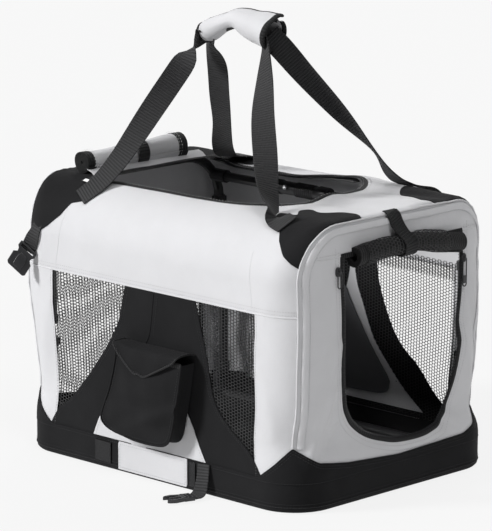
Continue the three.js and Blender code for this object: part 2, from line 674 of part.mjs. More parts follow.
function maleBuckle() {
  const outline = [
    [-16, 0], [16, 0], [18, 5], [16, 20], [13, 22], [15.5, 34], [12.5, 45], [9, 45], [8, 26],
    [3, 25], [3, 38], [-3, 38], [-3, 25], [-8, 26], [-9, 45], [-12.5, 45], [-15.5, 34], [-13, 22],
    [-16, 20], [-18, 5],
  ].map(([x, y]) => new THREE.Vector2(x, y));
  const slot = [[-12.8, 4], [12.8, 4], [12.8, 8], [-12.8, 8]].map(([x, y]) => new THREE.Vector2(x, y));
  const slot2 = [[-12.8, 11], [12.8, 11], [12.8, 15], [-12.8, 15]].map(([x, y]) => new THREE.Vector2(x, y));
  return slab(outline, -3, 3, [slot, slot2]);
}

function placed(shape, across, along, origin) {
  const x = new THREE.Vector3(...across).normalize();
  const y = new THREE.Vector3(...along).normalize();
  const z = new THREE.Vector3().crossVectors(x, y).normalize();
  y.crossVectors(z, x);
  const geometry = shape instanceof THREE.BufferGeometry ? shape : toGeometry(shape);
  return geometry.applyMatrix4(new THREE.Matrix4().makeBasis(x, y, z)).translate(...origin);
}

function buildBuckles() {
  const half = STRAP_WEB / 2;
  // The socket half hangs from the front left shoulder, clear of the rounded corner.
  const across = [0.62, 0.41, -0.66];
  addPart('buckle_socket', placed(femaleBuckle(), across, [-0.26, -0.5, -0.83], [-275, -232, 331]),
    MOULDED_BLACK);
  addPart('socket_strap', ribbon([
    { p: [-266, -226.5, 356], s: [half * 0.85, half * -0.2, half * -0.45] },
    { p: [-269, -229, 346], s: [half * 0.72, half * 0.12, half * -0.64] },
    { p: [-274.6, -231.3, 332.3], s: [half * 0.62, half * 0.41, half * -0.66] },
  ], 1.6), WEBBING_BLACK);
  // The plug half lies on the ground in front, on a strap from the base band.
  addPart('buckle_plug', placed(maleBuckle(), [0.93, 0.36, 0], [-0.36, -0.93, 0], [121, -262, 4]),
    MOULDED_BLACK);
  addPart('plug_strap', ribbon([
    { p: [115, -229.4, 49], s: [half, 0, 0] },
    { p: [116, -231.5, 38], s: [half, 0, 0] },
    { p: [118, -237, 22], s: [half, 0.6, 0] },
    { p: [120, -244, 9], s: [half * 0.98, 2, 0] },
    { p: [121, -252, 4.6], s: [half * 0.95, 3.5, 0] },
    { p: [121.5, -261, 4.4], s: [half * 0.93, 4.5, 0] },
  ], 1.6), WEBBING_BLACK);
}

// ---------------------------------------------------------------- assembly
buildFabricBody();
buildBase();
buildBaseRails();
const CORNERS = { fl: [-1, -1], fr: [1, -1], rl: [-1, 1], rr: [1, 1] };
for (const [corner, [sx, sy]] of Object.entries(CORNERS)) {
  buildBaseCorner(corner, sx, sy);
  buildPost(corner, sx, sy);
}
buildHoop('hoop_left', -1);
buildHoop('hoop_right', 1);
for (const [side, sy] of [['front', -1], ['rear', 1]]) {
  buildRails(side, sy);
  buildSleeve(side, sy);
}
buildRolls();
buildDoorSlider('right', 141, 345);
buildDoorSlider('left', -142, 366);
buildHandle();
buildPocket();
buildBuckles();

export default carrier;
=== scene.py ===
"""The looks of a soft-sided pet carrier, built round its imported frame.

Shapes are worked out in millimetres in the frame's axes, and piece() turns them into metres. X runs
along the bag with the open door at +X, -Y is the front with the pocket, and the floor is z = 0.
"""

import itertools
import json
import math

import bpy
import numpy as np
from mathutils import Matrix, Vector, geometry


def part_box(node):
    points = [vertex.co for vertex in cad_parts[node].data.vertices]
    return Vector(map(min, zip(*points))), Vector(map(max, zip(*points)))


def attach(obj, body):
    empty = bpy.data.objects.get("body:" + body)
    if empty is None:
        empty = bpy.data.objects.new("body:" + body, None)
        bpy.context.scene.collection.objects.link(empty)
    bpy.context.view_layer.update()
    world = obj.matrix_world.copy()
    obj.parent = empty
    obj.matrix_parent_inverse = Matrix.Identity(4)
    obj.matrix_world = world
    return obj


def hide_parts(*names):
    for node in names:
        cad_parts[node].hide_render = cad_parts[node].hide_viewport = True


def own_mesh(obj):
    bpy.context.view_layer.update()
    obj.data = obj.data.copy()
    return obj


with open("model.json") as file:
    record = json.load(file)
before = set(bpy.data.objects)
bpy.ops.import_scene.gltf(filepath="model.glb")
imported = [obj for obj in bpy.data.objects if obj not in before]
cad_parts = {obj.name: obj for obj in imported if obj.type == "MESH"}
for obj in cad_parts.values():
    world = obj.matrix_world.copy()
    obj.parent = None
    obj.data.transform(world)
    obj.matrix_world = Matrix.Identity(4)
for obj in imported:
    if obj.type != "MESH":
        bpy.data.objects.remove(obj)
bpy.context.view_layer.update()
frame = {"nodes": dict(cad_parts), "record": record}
MM = 0.001

# ---------------------------------------------------------------- sizes, read from the frame


def millimetres(node):
    low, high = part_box(node)
    return np.array(low) / MM, np.array(high) / MM


HALF_L, HALF_W, BASE_TOP = millimetres("base_cover")[1]
ROOF = millimetres("top_panel")[1][2]
WALL_TOP = millimetres("shoulder_front")[0][2]
SHOULDER = ROOF - WALL_TOP
CORNER = 70.0  # plan radius of the upright corners
LIP = 14.0  # radius of the edge between roof and end panel
END_SEAM = 388.0  # height of the seam across each end panel
S_ROOF = WALL_TOP + math.pi / 2 * SHOULDER  # length up the cloth to the flat of the roof
GIRTH = 2 * (S_ROOF + HALF_W - SHOULDER)
PIPE_SHARE = 1 - math.sqrt(0.5)  # how far in the piped seam lies, as a share of the rounding
RAIL_Y, RAIL_Z = [float(k) for k in (sum(millimetres("rail_rear_left")) / 2)[1:]]

POST_HALF, FOLD_ANGLE = 145, 85  # half a post between its pins, and the degrees it turns through
FOLD_DROP = 2 * POST_HALF * (1 - math.cos(math.radians(FOLD_ANGLE)))
FOLD_KEEP = (WALL_TOP - FOLD_DROP - BASE_TOP) / (WALL_TOP - BASE_TOP)
WALL_FOLD = ("frame_fold", BASE_TOP, FOLD_KEEP)
WALLS = dict(body="root", fold=WALL_FOLD)
POCKET_FOLD = ("frame_fold", BASE_TOP, 0.35)
POCKET = dict(body="root", fold=POCKET_FOLD)
FLAP = dict(body="pocket_flap", fold=POCKET_FOLD)
TOP = dict(body="top_frame")

# ---------------------------------------------------------------- small numeric helpers


def smooth(t):
    t = np.clip(t, 0, 1)
    return t * t * (3 - 2 * t)


def bump(value, centre, width):
    return np.exp(-(((value - centre) / width) ** 2))


def unit(v):
    v = np.asarray(v, float)
    return v / np.maximum(np.linalg.norm(v, axis=-1, keepdims=True), 1e-9)


def arc(cx, cy, radius, start, stop, steps=10):
    angles = np.radians(np.linspace(start, stop, steps + 1))
    return [(cx + radius * math.cos(a), cy + radius * math.sin(a)) for a in angles]


def through(points, per_span=8, closed=False):
    """A smooth curve through points, by Catmull and Rom's formula."""
    p = np.array(points, float)
    if closed:
        q = np.concatenate([p[-1:], p, p[:2]])
    else:
        q = np.concatenate([2 * p[:1] - p[1:2], p, 2 * p[-1:] - p[-2:-1]])
    out = []
    for i in range(len(q) - 3):
        a, b, c, d = q[i : i + 4]
        for t in np.linspace(0, 1, per_span, endpoint=False):
            out.append(
                0.5 * (2 * b + (c - a) * t + (2 * a - 5 * b + 4 * c - d) * t * t
                       + (3 * b - a - 3 * c + d) * t ** 3)
            )
    if not closed:
        out.append(q[-2])
    return np.array(out)


def run_along(path):
    """The length along a path at each of its points."""
    return np.concatenate([[0], np.cumsum(np.linalg.norm(np.diff(path, axis=0), axis=1))])


def met_at(where, run, values):
    """The values met at some lengths along a path."""
    return np.stack([np.interp(where, run, column) for column in values.T], axis=1)


def spaced(path, step, closed=False):
    """The same path with points about step apart."""
    p = np.array(path, float)
    if closed:
        p = np.vstack([p, p[:1]])
    lengths = run_along(p)
    count = max(2, int(round(lengths[-1] / step)) + 1)
    where = np.linspace(0, lengths[-1], count)
    if closed:
        where = where[:-1]
    return met_at(where, lengths, p)


def corners_kept(outline, step):
    """A closed outline with every corner kept and no side longer than step."""
    out = []
    p = [np.array(q, float) for q in outline]
    for a, b in zip(p, p[1:] + p[:1]):
        n = max(1, int(math.ceil(np.linalg.norm(b - a) / step)))
        out += [a + (b - a) * i / n for i in range(n)]
    return np.array(out)


def rectangle(x0, x1, y0, y1):
    return [(x0, y0), (x1, y0), (x1, y1), (x0, y1)]


def tuples(points):
    return [tuple(p) for p in points]


def inside(points, outline):
    x, y = points[:, 0], points[:, 1]
    result = np.zeros(len(points), bool)
    for (x0, y0), (x1, y1) in zip(outline, np.roll(outline, -1, axis=0)):
        cross = (y0 > y) != (y1 > y)
        with np.errstate(divide="ignore", invalid="ignore"):
            result ^= cross & (x < (x1 - x0) * (y - y0) / (y1 - y0 + 1e-12) + x0)
    return result


def edge_distance(points, outline):
    best = np.full(len(points), 1e9)
    for a, b in zip(outline, np.roll(outline, -1, axis=0)):
        ab = b - a
        t = np.clip(((points - a) @ ab) / max(ab @ ab, 1e-9), 0, 1)
        best = np.minimum(best, np.linalg.norm(points - a - t[:, None] * ab, axis=1))
    return best


def within(points, loops):
    """Which points lie inside the first loop and outside the others."""
    keep = inside(points, loops[0])
    for hole in loops[1:]:
        keep &= ~inside(points, hole)
    return keep


def fill(outline, step, holes=()):
    """Even triangles about step across inside a flat outline, less its holes."""
    loops = [corners_kept(outline, step)] + [corners_kept(h, step) for h in holes]
    low, high = loops[0].min(0), loops[0].max(0)
    gx, gy = np.meshgrid(np.arange(low[0], high[0], step), np.arange(low[1], high[1], step * 0.87))
    gx = gx + (np.arange(len(gx)) % 2)[:, None] * step / 2
    grid = np.stack([gx.ravel(), gy.ravel()], axis=1)
    grid = grid[within(grid, loops)]
    for loop in loops:
        grid = grid[edge_distance(grid, loop) > 0.55 * step]
    points, edges = [], []
    for loop in loops:
        n = len(points)
        points += [Vector(p) for p in loop]
        edges += [(n + i, n + (i + 1) % len(loop)) for i in range(len(loop))]
    points += [Vector(p) for p in grid]
    made = geometry.delaunay_2d_cdt(points, edges, [], 0, 1e-4, False)
    flat = np.array([tuple(v) for v in made[0]])
    faces = np.array([f for f in made[2] if len(f) == 3])
    return flat, faces[within(flat[faces].mean(axis=1), loops)]


def quads(rows, columns):
    """The four-sided faces of a grid of points."""
    return [[i * columns + j, i * columns + j + 1, (i + 1) * columns + j + 1, (i + 1) * columns + j]
            for i in range(rows - 1) for j in range(columns - 1)]


# ---------------------------------------------------------------- the bag's surface


def edge_radius(s):
    """Radius of the rounding to the end panels, from the upright corners to the roof's edge."""
    q = np.minimum(s, GIRTH - s)
    return CORNER + (LIP - CORNER) * smooth((q - (WALL_TOP - 20)) / (S_ROOF - WALL_TOP + 20))


def pipe_x(s):
    """Half the bag's length at the piped seam between the wrapping panels and the end panels."""
    return HALF_L - PIPE_SHARE * edge_radius(s)


def pipe_at(s):
    return float(pipe_x(np.array([s]))[0])


def girth_point(s):
    """y, z and the outward normal of the bag's section at length s up from the front floor edge."""
    rear = s > GIRTH / 2
    q = np.where(rear, GIRTH - s, s)
    a = np.clip((q - WALL_TOP) / SHOULDER, 0, math.pi / 2)
    ny, nz = -np.cos(a), np.sin(a)
    y = -(HALF_W - SHOULDER) + SHOULDER * ny + np.maximum(q - S_ROOF, 0)
    z = np.minimum(q, WALL_TOP) + SHOULDER * nz
    flip = np.where(rear, -1, 1)
    return y * flip, z, ny * flip, nz


def wrap(uv):
    """Front, roof and rear as one sheet: x, and the length s up from the front floor edge."""
    x, s = uv[:, 0], uv[:, 1]
    y, z, ny, nz = girth_point(s)
    r = edge_radius(s)
    over = np.clip(np.abs(x) - (HALF_L - r), 0, 0.98 * r)
    drop = r - np.sqrt(r * r - over * over)
    lean = over / r
    straight = np.sqrt(1 - lean * lean)
    p = np.stack([x, y - ny * drop, z - nz * drop], axis=1)
    return p, np.stack([np.sign(x) * lean, ny * straight, nz * straight], axis=1)


def end_panel(side):
    """The panel at one end, over y and z."""

    def place(uv):
        y, z = uv[:, 0], uv[:, 1]
        fy, fz = np.abs(y) - (HALF_W - SHOULDER), z - WALL_TOP
        reach = np.hypot(np.maximum(fy, 0), np.maximum(fz, 0))
        angle = np.arctan2(np.maximum(fz, 0), np.maximum(fy, 1e-6))
        depth = np.where(fz <= 0, HALF_W - np.abs(y), np.where(fy > 0, SHOULDER - reach, ROOF - z))
        s = np.where(fz <= 0, z, np.where(fy > 0, WALL_TOP + SHOULDER * angle, S_ROOF + 1))
        r = edge_radius(s)
        short = np.clip(r - depth, 0, 0.98 * r)
        lean = short / r
        x = HALF_L - r + np.sqrt(r * r - short * short)
        out_y = np.where(fz <= 0, np.sign(y), np.sign(y) * np.where(fy > 0, np.cos(angle), 0))
        out_z = np.where(fz <= 0, 0, np.where(fy > 0, np.sin(angle), 1))
        n = np.stack([side * np.sqrt(1 - lean * lean), out_y * lean, out_z * lean], axis=1)
        return np.stack([side * x, y, z], axis=1), n

    return place


def plan(q):
    """Point and outward normal on the rounded plan at length q round from the front's middle."""
    flat_x, flat_y, turn = HALF_L - CORNER, HALF_W - CORNER, math.pi / 2 * CORNER
    lengths = [flat_x, turn, 2 * flat_y, turn, 2 * flat_x, turn, 2 * flat_y, turn, flat_x]
    total = sum(lengths)
    q = np.mod(np.asarray(q, float), total)
    x, y = np.zeros_like(q), np.zeros_like(q)
    heading = np.zeros_like(q)
    at, direction, begun = np.array([0.0, -HALF_W]), 0.0, 0.0
    for i, length in enumerate(lengths):
        here = (q >= begun) & (q <= begun + length + 1e-9)
        t = q[here] - begun
        if i % 2 == 0:
            x[here] = at[0] + t * math.cos(direction)
            y[here] = at[1] + t * math.sin(direction)
            heading[here] = direction
            at = at + length * np.array([math.cos(direction), math.sin(direction)])
        else:
            centre = at + CORNER * np.array([-math.sin(direction), math.cos(direction)])
            a = direction - math.pi / 2 + t / CORNER
            x[here], y[here] = centre[0] + CORNER * np.cos(a), centre[1] + CORNER * np.sin(a)
            heading[here] = direction + t / CORNER
            direction += math.pi / 2
            a = direction - math.pi / 2
            at = centre + CORNER * np.array([math.cos(a), math.sin(a)])
        begun += length
    return x, y, np.sin(heading), -np.cos(heading)


PLAN_LENGTH = 4 * (HALF_L + HALF_W - 2 * CORNER) + 2 * math.pi * CORNER
CORNER_Q = HALF_L - CORNER + math.pi / 4 * CORNER  # from the front's middle to a front corner
END_Q = HALF_L - CORNER + math.pi / 2 * CORNER + HALF_W - CORNER  # to the middle of an end
REAR_CORNER_Q = 2 * END_Q - CORNER_Q


def wall(uv):
    """All the upright walls as one band: q round the plan, and z."""
    x, y, nx, ny = plan(uv[:, 0])
    zero = np.zeros_like(x)
    return np.stack([x, y, uv[:, 1]], axis=1), np.stack([nx, ny, zero], axis=1)


def waves(p, length, seed, count=7):
    """Smooth aimless ripples with features about length across, from -1 to 1."""
    source = np.random.default_rng(seed)
    total = np.zeros(len(p))
    for _ in range(count):
        direction = unit(source.normal(size=3))
        phase, scale = source.uniform(0, 2 * math.pi), source.uniform(0.7, 1.5)
        total += np.sin(p @ direction * (2 * math.pi * scale / length) + phase)
    return total / count * 1.6


# Folds that stay in the cloth: from, to, width and height.
CREASES = [
    ((307, -150, 180), (300, -185, 75), 10, 5.0),
    ((307, -128, 120), (302, -178, 62), 9, -4.5),
    ((307, -142, 250), (303, -180, 130), 12, 4.4),
    ((307, 150, 230), (303, 190, 110), 13, 4.4),
    ((307, 158, 300), (300, 196, 210), 11, -3.6),
    ((307, 120, 100), (303, 178, 66), 9, 3.8),
    ((307, -120, 408), (307, 40, 412), 9, -2.2),
    ((307, 40, 400), (307, 150, 408), 9, 2.0),
    ((215, -228, 250), (262, -226, 120), 12, 1.8),
    ((-226, -228, 250), (-262, -226, 120), 12, 1.8),
    ((-150, -140, 440), (130, -118, 440), 16, 2.2),
    ((60, -105, 440), (250, -20, 440), 22, -4.0),
    ((120, -60, 440), (290, 60, 440), 20, 3.6),
    ((180, 90, 440), (300, 130, 440), 18, -3.0),
    ((-160, 150, 436), (60, 150, 436), 14, -2.4),
    ((-307, 120, 260), (-300, 190, 90), 12, 2.6),
    ((-307, -120, 260), (-300, -190, 90), 12, 2.6),
]


# How the roof rises (or sinks) between its seams: height, and centre and width in y and in x.
ROOF_RISES = [(7, 128, 34, 112, 42), (-3, -140, 30, 20, 110), (5, -20, 60, 178, 26)]


def settle(p, n):
    """The cloth's own shape: fuller above, drawn in above the base, and softly rippled."""
    x, y, z = p.T
    free = smooth((z - BASE_TOP) / 50)  # the base tray is stiff
    moved = p.copy()
    near_end = smooth((np.abs(x) - 150) / 140)
    left = x < 0
    fuller = np.where(left, 15, 4) * bump(z, 285, 75)
    drawn = np.where(left, 5, 10) * bump(z, 104, 42)
    moved[:, 0] += np.sign(x) * near_end * free * (fuller - drawn)
    moved[:, 1] -= np.sign(y) * smooth((np.abs(y) - 100) / 110) * free * 3.5 * bump(z, 120, 60)
    lean = smooth((y - 20) / 150) * smooth((x - 120) / 160) * free
    moved[:, 1] -= 11 * lean * (0.75 + 0.25 * smooth((z - 300) / 120))
    on_roof = smooth((z - (ROOF - 30)) / 25)
    moved[:, 2] -= on_roof * 11 * bump(y, 132, 34) * smooth((60 - x) / 110) * smooth((x + 235) / 90)
    for high, y0, width_y, x0, width_x in ROOF_RISES:
        moved[:, 2] += on_roof * high * bump(y, y0, width_y) * bump(x, x0, width_x)
    height = 0.9 * waves(p, 150, 3) + 0.45 * waves(p, 62, 11)
    height *= 0.35 + 0.65 * smooth((np.abs(x) - 170) / 90)
    for start, stop, width, high in CREASES:
        a, b = np.array(start, float), np.array(stop, float)
        ab = b - a
        t = ((p - a) @ ab) / (ab @ ab)
        d = np.linalg.norm(p - a - np.clip(t, 0, 1)[:, None] * ab, axis=1)
        height = height + high * bump(d, 0, width)
    return moved + n * (height * free)[:, None]


def skin(place, uv, lift=0.0):
    """Points and true normals of the settled surface, lift outside it."""
    uv = np.asarray(uv, float)
    p, n = place(uv)
    moved = settle(p, n)
    reach = 0.6
    across = settle(*place(uv + [reach, 0])) - settle(*place(uv - [reach, 0]))
    upward = settle(*place(uv + [0, reach])) - settle(*place(uv - [0, reach]))
    normal = unit(np.cross(across, upward))
    normal *= np.sign(np.sum(normal * n, axis=1, keepdims=True) + 1e-12)
    return moved + normal * lift, normal


# ---------------------------------------------------------------- materials


class Shader:
    """A material's node tree, with short calls to add nodes and links."""

    def __init__(self, name):
        self.material = bpy.data.materials.new(name)
        self.material.use_nodes = True
        self.tree = self.material.node_tree
        self.surface = self.tree.nodes["Principled BSDF"]

    def add(self, kind, settings=None, **inputs):
        node = self.tree.nodes.new("ShaderNode" + kind)
        for key, value in (settings or {}).items():
            setattr(node, key, value)
        for key, value in inputs.items():
            self.feed(node, key, value)
        return node

    def feed(self, node, key, value):
        socket = node.inputs[int(key[1:])] if key[0] == "_" else node.inputs[key.replace("_", " ")]
        if isinstance(value, bpy.types.Node):
            value = value.outputs[0]
        if isinstance(value, bpy.types.NodeSocket):
            self.tree.links.new(value, socket)
        else:
            socket.default_value = value

    def dress(self, **inputs):
        """Sets inputs of the surface, and hands back the material."""
        for key, value in inputs.items():
            self.feed(self.surface, key, value)
        return self.material

    def math(self, operation, a, b=0.0):
        return self.add("Math", {"operation": operation}, _0=a, _1=b)

    def mix(self, a, share_a, b, share_b):
        a, b = self.math("MULTIPLY", a, share_a), self.math("MULTIPLY", b, share_b)
        return self.math("ADD", a, b)

    def noise(self, coords, scale, detail=3.0):
        return self.add("TexNoise", Vector=coords, Scale=scale, Detail=detail, Roughness=0.6)

    def tone(self, factor, dark, light, low=0.3, high=0.7):
        ramp = self.add("ValToRGB", Fac=factor)
        ramp.color_ramp.elements[0].position = low
        ramp.color_ramp.elements[1].position = high
        ramp.color_ramp.elements[0].color = (*dark, 1)
        ramp.color_ramp.elements[1].color = (*light, 1)
        return ramp

    def relief(self, height, distance, strength=1.0, below=None):
        node = self.add("Bump", Height=height, Distance=distance, Strength=strength)
        if below is not None:
            self.feed(node, "Normal", below)
        return node


def shades(colour, spread):
    return [k * (1 - spread) for k in colour], [min(1, k * (1 + spread)) for k in colour]


def ribs(shader, coords, pitch, axis):
    """Rounded ridges across one of the coordinates, 0 to 1."""
    parts = shader.add("SeparateXYZ", Vector=coords)
    turns = shader.math("MULTIPLY", parts.outputs[axis], math.pi / pitch)
    return shader.math("ABSOLUTE", shader.math("SINE", turns))


def cloth(name, colour, pitch=0.0011, rough=0.8, sheen=0.25, spread=0.05, depth=0.00022,
          mapped=True, crumple=0.0009, shine=0.3):
    """Plain-woven oxford cloth: a grid of crossing threads, faint mottling and soft crumples."""
    sh = Shader(name)
    where = sh.add("TexCoord").outputs["Object"]
    coords = sh.add("TexCoord").outputs["UV" if mapped else "Object"]
    threads = sh.math("MULTIPLY", ribs(sh, coords, pitch, 0), ribs(sh, coords, pitch, 1))
    if not mapped:
        threads = sh.math("MAXIMUM", threads, sh.math("MULTIPLY", ribs(sh, coords, pitch, 2), 0.8))
    broad = sh.noise(where, 14, 4)
    fine = sh.noise(where, 700, 2)
    mixed = sh.mix(sh.mix(broad, 0.6, fine, 0.4), 0.8, threads, 0.2)
    return sh.dress(
        Base_Color=sh.tone(mixed, *shades(colour, spread)),
        Roughness=sh.add("MapRange", Value=fine, To_Min=rough - 0.08, To_Max=min(1, rough + 0.08)),
        Sheen_Weight=sheen, Sheen_Roughness=0.5, Specular_IOR_Level=shine,
        Normal=sh.relief(threads, depth, 0.7, sh.relief(sh.noise(where, 55, 5), crumple, 0.5)))


def webbing(name, colour, sheen):
    """Ribbed webbing: ribs across the strap, a fine line between them, and thick woven edges."""
    sh = Shader(name)
    coords = sh.add("TexCoord").outputs["UV"]
    where = sh.add("TexCoord").outputs["Object"]
    across = ribs(sh, coords, 0.0046, 1)
    along = ribs(sh, coords, 0.0021, 0)
    woven = sh.mix(across, 0.75, along, 0.25)
    mixed = sh.mix(woven, 0.65, sh.noise(where, 900, 2), 0.35)
    dark, light = [k * 0.3 for k in colour], [k * 1.6 for k in colour]
    return sh.dress(Base_Color=sh.tone(mixed, dark, light, 0.2, 0.8), Roughness=0.72,
                    Sheen_Weight=sheen, Specular_IOR_Level=0.3,
                    Normal=sh.relief(woven, 0.0011, 1.0))


def moulded(name, colour, rough, grain=0.0001, metallic=0.0, scale=900, edge_highlight=None):
    """Moulded or coated stock: fine grain, uneven gloss, and sharp edges painted paler as a painted
    highlight.
    """
    sh = Shader(name)
    where = sh.add("TexCoord").outputs["Object"]
    fine, broad = sh.noise(where, scale, 3), sh.noise(where, 30, 4)
    # Pointiness finds the sharp edges, which are painted paler: a painted highlight.
    edge_pointiness = sh.add("NewGeometry").outputs["Pointiness"]
    edge = sh.add("MapRange", Value=edge_pointiness, From_Min=0.51, From_Max=0.58)
    base = sh.tone(broad, *shades(colour, 0.15))
    blend = sh.add("MixRGB", Fac=sh.math("MULTIPLY", edge, 0.35), Color1=base,
                   Color2=(*(edge_highlight or [min(1, k * 2.5 + 0.02) for k in colour]), 1))
    gloss = sh.add("MapRange", Value=broad, To_Min=rough - 0.07, To_Max=rough + 0.07)
    return sh.dress(Base_Color=blend, Metallic=metallic, Roughness=gloss,
                    Normal=sh.relief(fine, grain, 0.6))


def hook_tape(name, colour):
    """Hook-and-loop tape: a dense random pile."""
    sh = Shader(name)
    where = sh.add("TexCoord").outputs["Object"]
    pile = sh.add("TexVoronoi", Vector=where, Scale=620).outputs["Distance"]
    return sh.dress(Base_Color=sh.tone(pile, *shades(colour, 0.35)), Roughness=0.95,
                    Normal=sh.relief(pile, 0.0009, 1.0))


def rolled_net(name, colour):
    """Knitted mesh wound on itself: open cells are dimples, with their centres painted darker as
    painted shade.
    """
    sh = Shader(name)
    coords = sh.add("TexCoord").outputs["UV"]
    cells = sh.add("TexVoronoi", {"voronoi_dimensions": "2D"}, Vector=coords, Scale=190,
                   Randomness=0.25).outputs["Distance"]
    # The cell centres are darker than the yarn: painted shade in the open cells.
    return sh.dress(Base_Color=sh.tone(cells, [0.004] * 3, colour, 0.3, 0.55), Roughness=0.7,
                    Normal=sh.relief(cells, 0.0012, 0.9))


GREY = (0.56, 0.56, 0.575)
LOOKS = {
    "grey": (cloth("grey_oxford", GREY), "grey_cloth"),
    "grey_soft": (cloth("grey_oxford_padded", GREY, mapped=False), "grey_cloth"),
    # Dark grey cloth used only as painted shade: the shadow of a pocket on the rear, seen through
    # the thin grey wall.
    "pocket_shadow": (cloth("grey_pocket_shadow_cloth", (0.10, 0.10, 0.108), sheen=0.1), "grey_cloth"),
    "black": (cloth("black_oxford", (0.0102, 0.0102, 0.011), spread=0.35, rough=0.8, sheen=0.02,
                    shine=0.1),
              "black_cloth"),
    "black_soft": (cloth("black_padding", (0.008, 0.008, 0.0088), spread=0.35, sheen=0.02,
                         mapped=False, shine=0.1), "black_cloth"),
    "coated": (cloth("black_coated", (0.006, 0.006, 0.0066), rough=0.3, sheen=0, spread=0.2,
                     crumple=0.003), "black_cloth"),
    "binding": (webbing("black_binding", (0.007, 0.007, 0.0076), 0.02), "black_cloth"),
    "net": (moulded("black_net", (0.008, 0.008, 0.0088), 0.62, scale=1500), "black_mesh"),
    "net_light": (moulded("grey_black_net", (0.017, 0.017, 0.018), 0.6, scale=1500), "black_mesh"),
    "wound": (rolled_net("black_net_wound", (0.008, 0.008, 0.0085)), "black_mesh"),
    "webbing": (webbing("black_webbing", (0.0155, 0.0155, 0.0165), 0.08), "webbing_black"),
    "hooks": (hook_tape("black_hook_tape", (0.012, 0.012, 0.013)), "black_cloth"),
    "thread_grey": (moulded("grey_thread", (0.36, 0.36, 0.37), 0.7), "grey_cloth"),
    "thread_white": (moulded("white_thread", (0.72, 0.72, 0.72), 0.6), "grey_cloth"),
    "thread_black": (moulded("black_thread", (0.03, 0.03, 0.032), 0.55), "black_cloth"),
    "tube": (moulded("black_powder_coat", (0.009, 0.009, 0.01), 0.3, grain=0.00005, scale=1800),
             "tube_black"),
    "plastic": (moulded("black_nylon", (0.016, 0.016, 0.018), 0.4), "moulded_black"),
    # Its sharp edges get a pale grey painted highlight.
    "steel": (moulded("zinc_plate", (0.62, 0.63, 0.65), 0.25, metallic=1.0, edge_highlight=(0.8, 0.8, 0.8)),
              "steel"),
}

# ---------------------------------------------------------------- making pieces


def piece(name, points, faces, look, body, fold=None, uv=None, normals=None, sharp=45):
    """A mesh in millimetres becomes a named piece that rides on a body; given a fold, it gets a
    mesh of its own.
    """
    mesh = bpy.data.meshes.new(name)
    metres = (np.asarray(points, float) * MM).tolist()
    mesh.from_pydata(metres, [], [list(map(int, f)) for f in faces])
    mesh.validate()
    mesh.shade_smooth()
    if uv is not None:
        layer = mesh.uv_layers.new(name="cloth")
        order = np.zeros(len(mesh.loops), np.int32)
        mesh.loops.foreach_get("vertex_index", order)
        layer.data.foreach_set("uv", (np.asarray(uv, float)[order] * MM).astype(np.float32).ravel())
    if normals is None:
        mesh.set_sharp_from_angle(angle=math.radians(sharp))
    else:
        mesh.normals_split_custom_set_from_vertices(normals.tolist())
    material, slot = LOOKS[look]
    mesh.materials.append(material)
    obj = bpy.data.objects.new(name, mesh)
    bpy.context.scene.collection.objects.link(obj)
    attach(obj, body)
    if fold:
        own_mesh(obj)
    return obj


def closed_sheet(outer, inner, faces):
    """Points and faces of a sheet with two sides and a rim."""
    n = len(outer)
    faces = [list(f) for f in faces]
    sides = {}
    for f in faces:
        for a, b in zip(f, f[1:] + f[:1]):
            sides[(a, b)] = sides.get((a, b), 0) + 1
    rim = [[b, a, a + n, b + n] for (a, b) in sides if (b, a) not in sides]
    back = [[i + n for i in reversed(f)] for f in faces]
    return np.vstack([outer, inner]), faces + back + rim


def cloth_piece(name, outer, inner, faces, look, body, fold=None, uv=None, **how):
    """A piece with two sides, which share their faces and their uv."""
    points, all_faces = closed_sheet(outer, inner, faces)
    return piece(name, points, all_faces, look, body, fold, np.vstack([uv, uv]), **how)


def facing(points, faces, normals):
    """Turns the faces so that they look along the normals."""
    f = np.asarray(faces)
    a, b, c = points[f[:, 0]], points[f[:, 1]], points[f[:, 2]]
    if np.sum(np.cross(b - a, c - a) * normals[f[:, 0]]) < 0:
        f = f[:, ::-1]
    return f


def panel(name, place, outline, look, body, fold=None, holes=(), lift=0.0, thick=1.2, step=9.0):
    """A flat cut of cloth laid on the bag's surface."""
    uv, faces = fill(outline, step, holes)
    outer, normal = skin(place, uv, lift)
    return cloth_piece(name, outer, outer - normal * thick, facing(outer, faces, normal), look,
                       body, fold, uv, normals=np.vstack([normal, -normal]))


def frames(path, normals, closed=False):
    """Tangent, side and normal at each point of a path."""
    path = np.asarray(path, float)
    if closed:
        tangent = unit(np.roll(path, -1, axis=0) - np.roll(path, 1, axis=0))
    else:
        tangent = unit(np.gradient(path, axis=0))
    side = unit(np.cross(tangent, np.broadcast_to(normals, path.shape)))
    return tangent, side, unit(np.cross(side, tangent))


def sweep(name, path, normals, section, look, body, fold=None, closed=False, sharp=50):
    """A section of (side, height) points carried along a path on a surface with these normals."""
    path = np.asarray(path, float)
    _, side, up = frames(path, normals, closed)
    return carried(name, path, side, up, section, look, body, fold, closed, sharp)


def carried(name, path, side, up, section, look, body, fold=None, closed=False, sharp=50):
    """The section itself, drawn at each point of the path in the given side and up directions."""
    section = np.asarray(section, float)
    k, count = len(section), len(path)
    rings = path[:, None] + side[:, None] * section[None, :, :1]
    rings = rings + up[:, None] * section[None, :, 1:]
    faces = []
    for i in range(count if closed else count - 1):
        j = (i + 1) % count
        faces += [[i * k + a, i * k + b, j * k + b, j * k + a]
                  for a, b in zip(range(k), [*range(1, k), 0])]
    if not closed:
        faces += [list(range(k))[::-1], [(count - 1) * k + a for a in range(k)]]
    uv = np.stack([np.tile(run_along(section), count), np.repeat(run_along(path), k)], axis=1)
    return piece(name, rings.reshape(-1, 3), faces, look, body, fold, uv, sharp=sharp)


def oval(width, height, sides=10, lift=0.0):
    """An oval section; lift raises it off the surface."""
    return [(width / 2 * math.cos(a), lift + height / 2 * math.sin(a))
            for a in np.linspace(0, 2 * math.pi, sides, endpoint=False)]


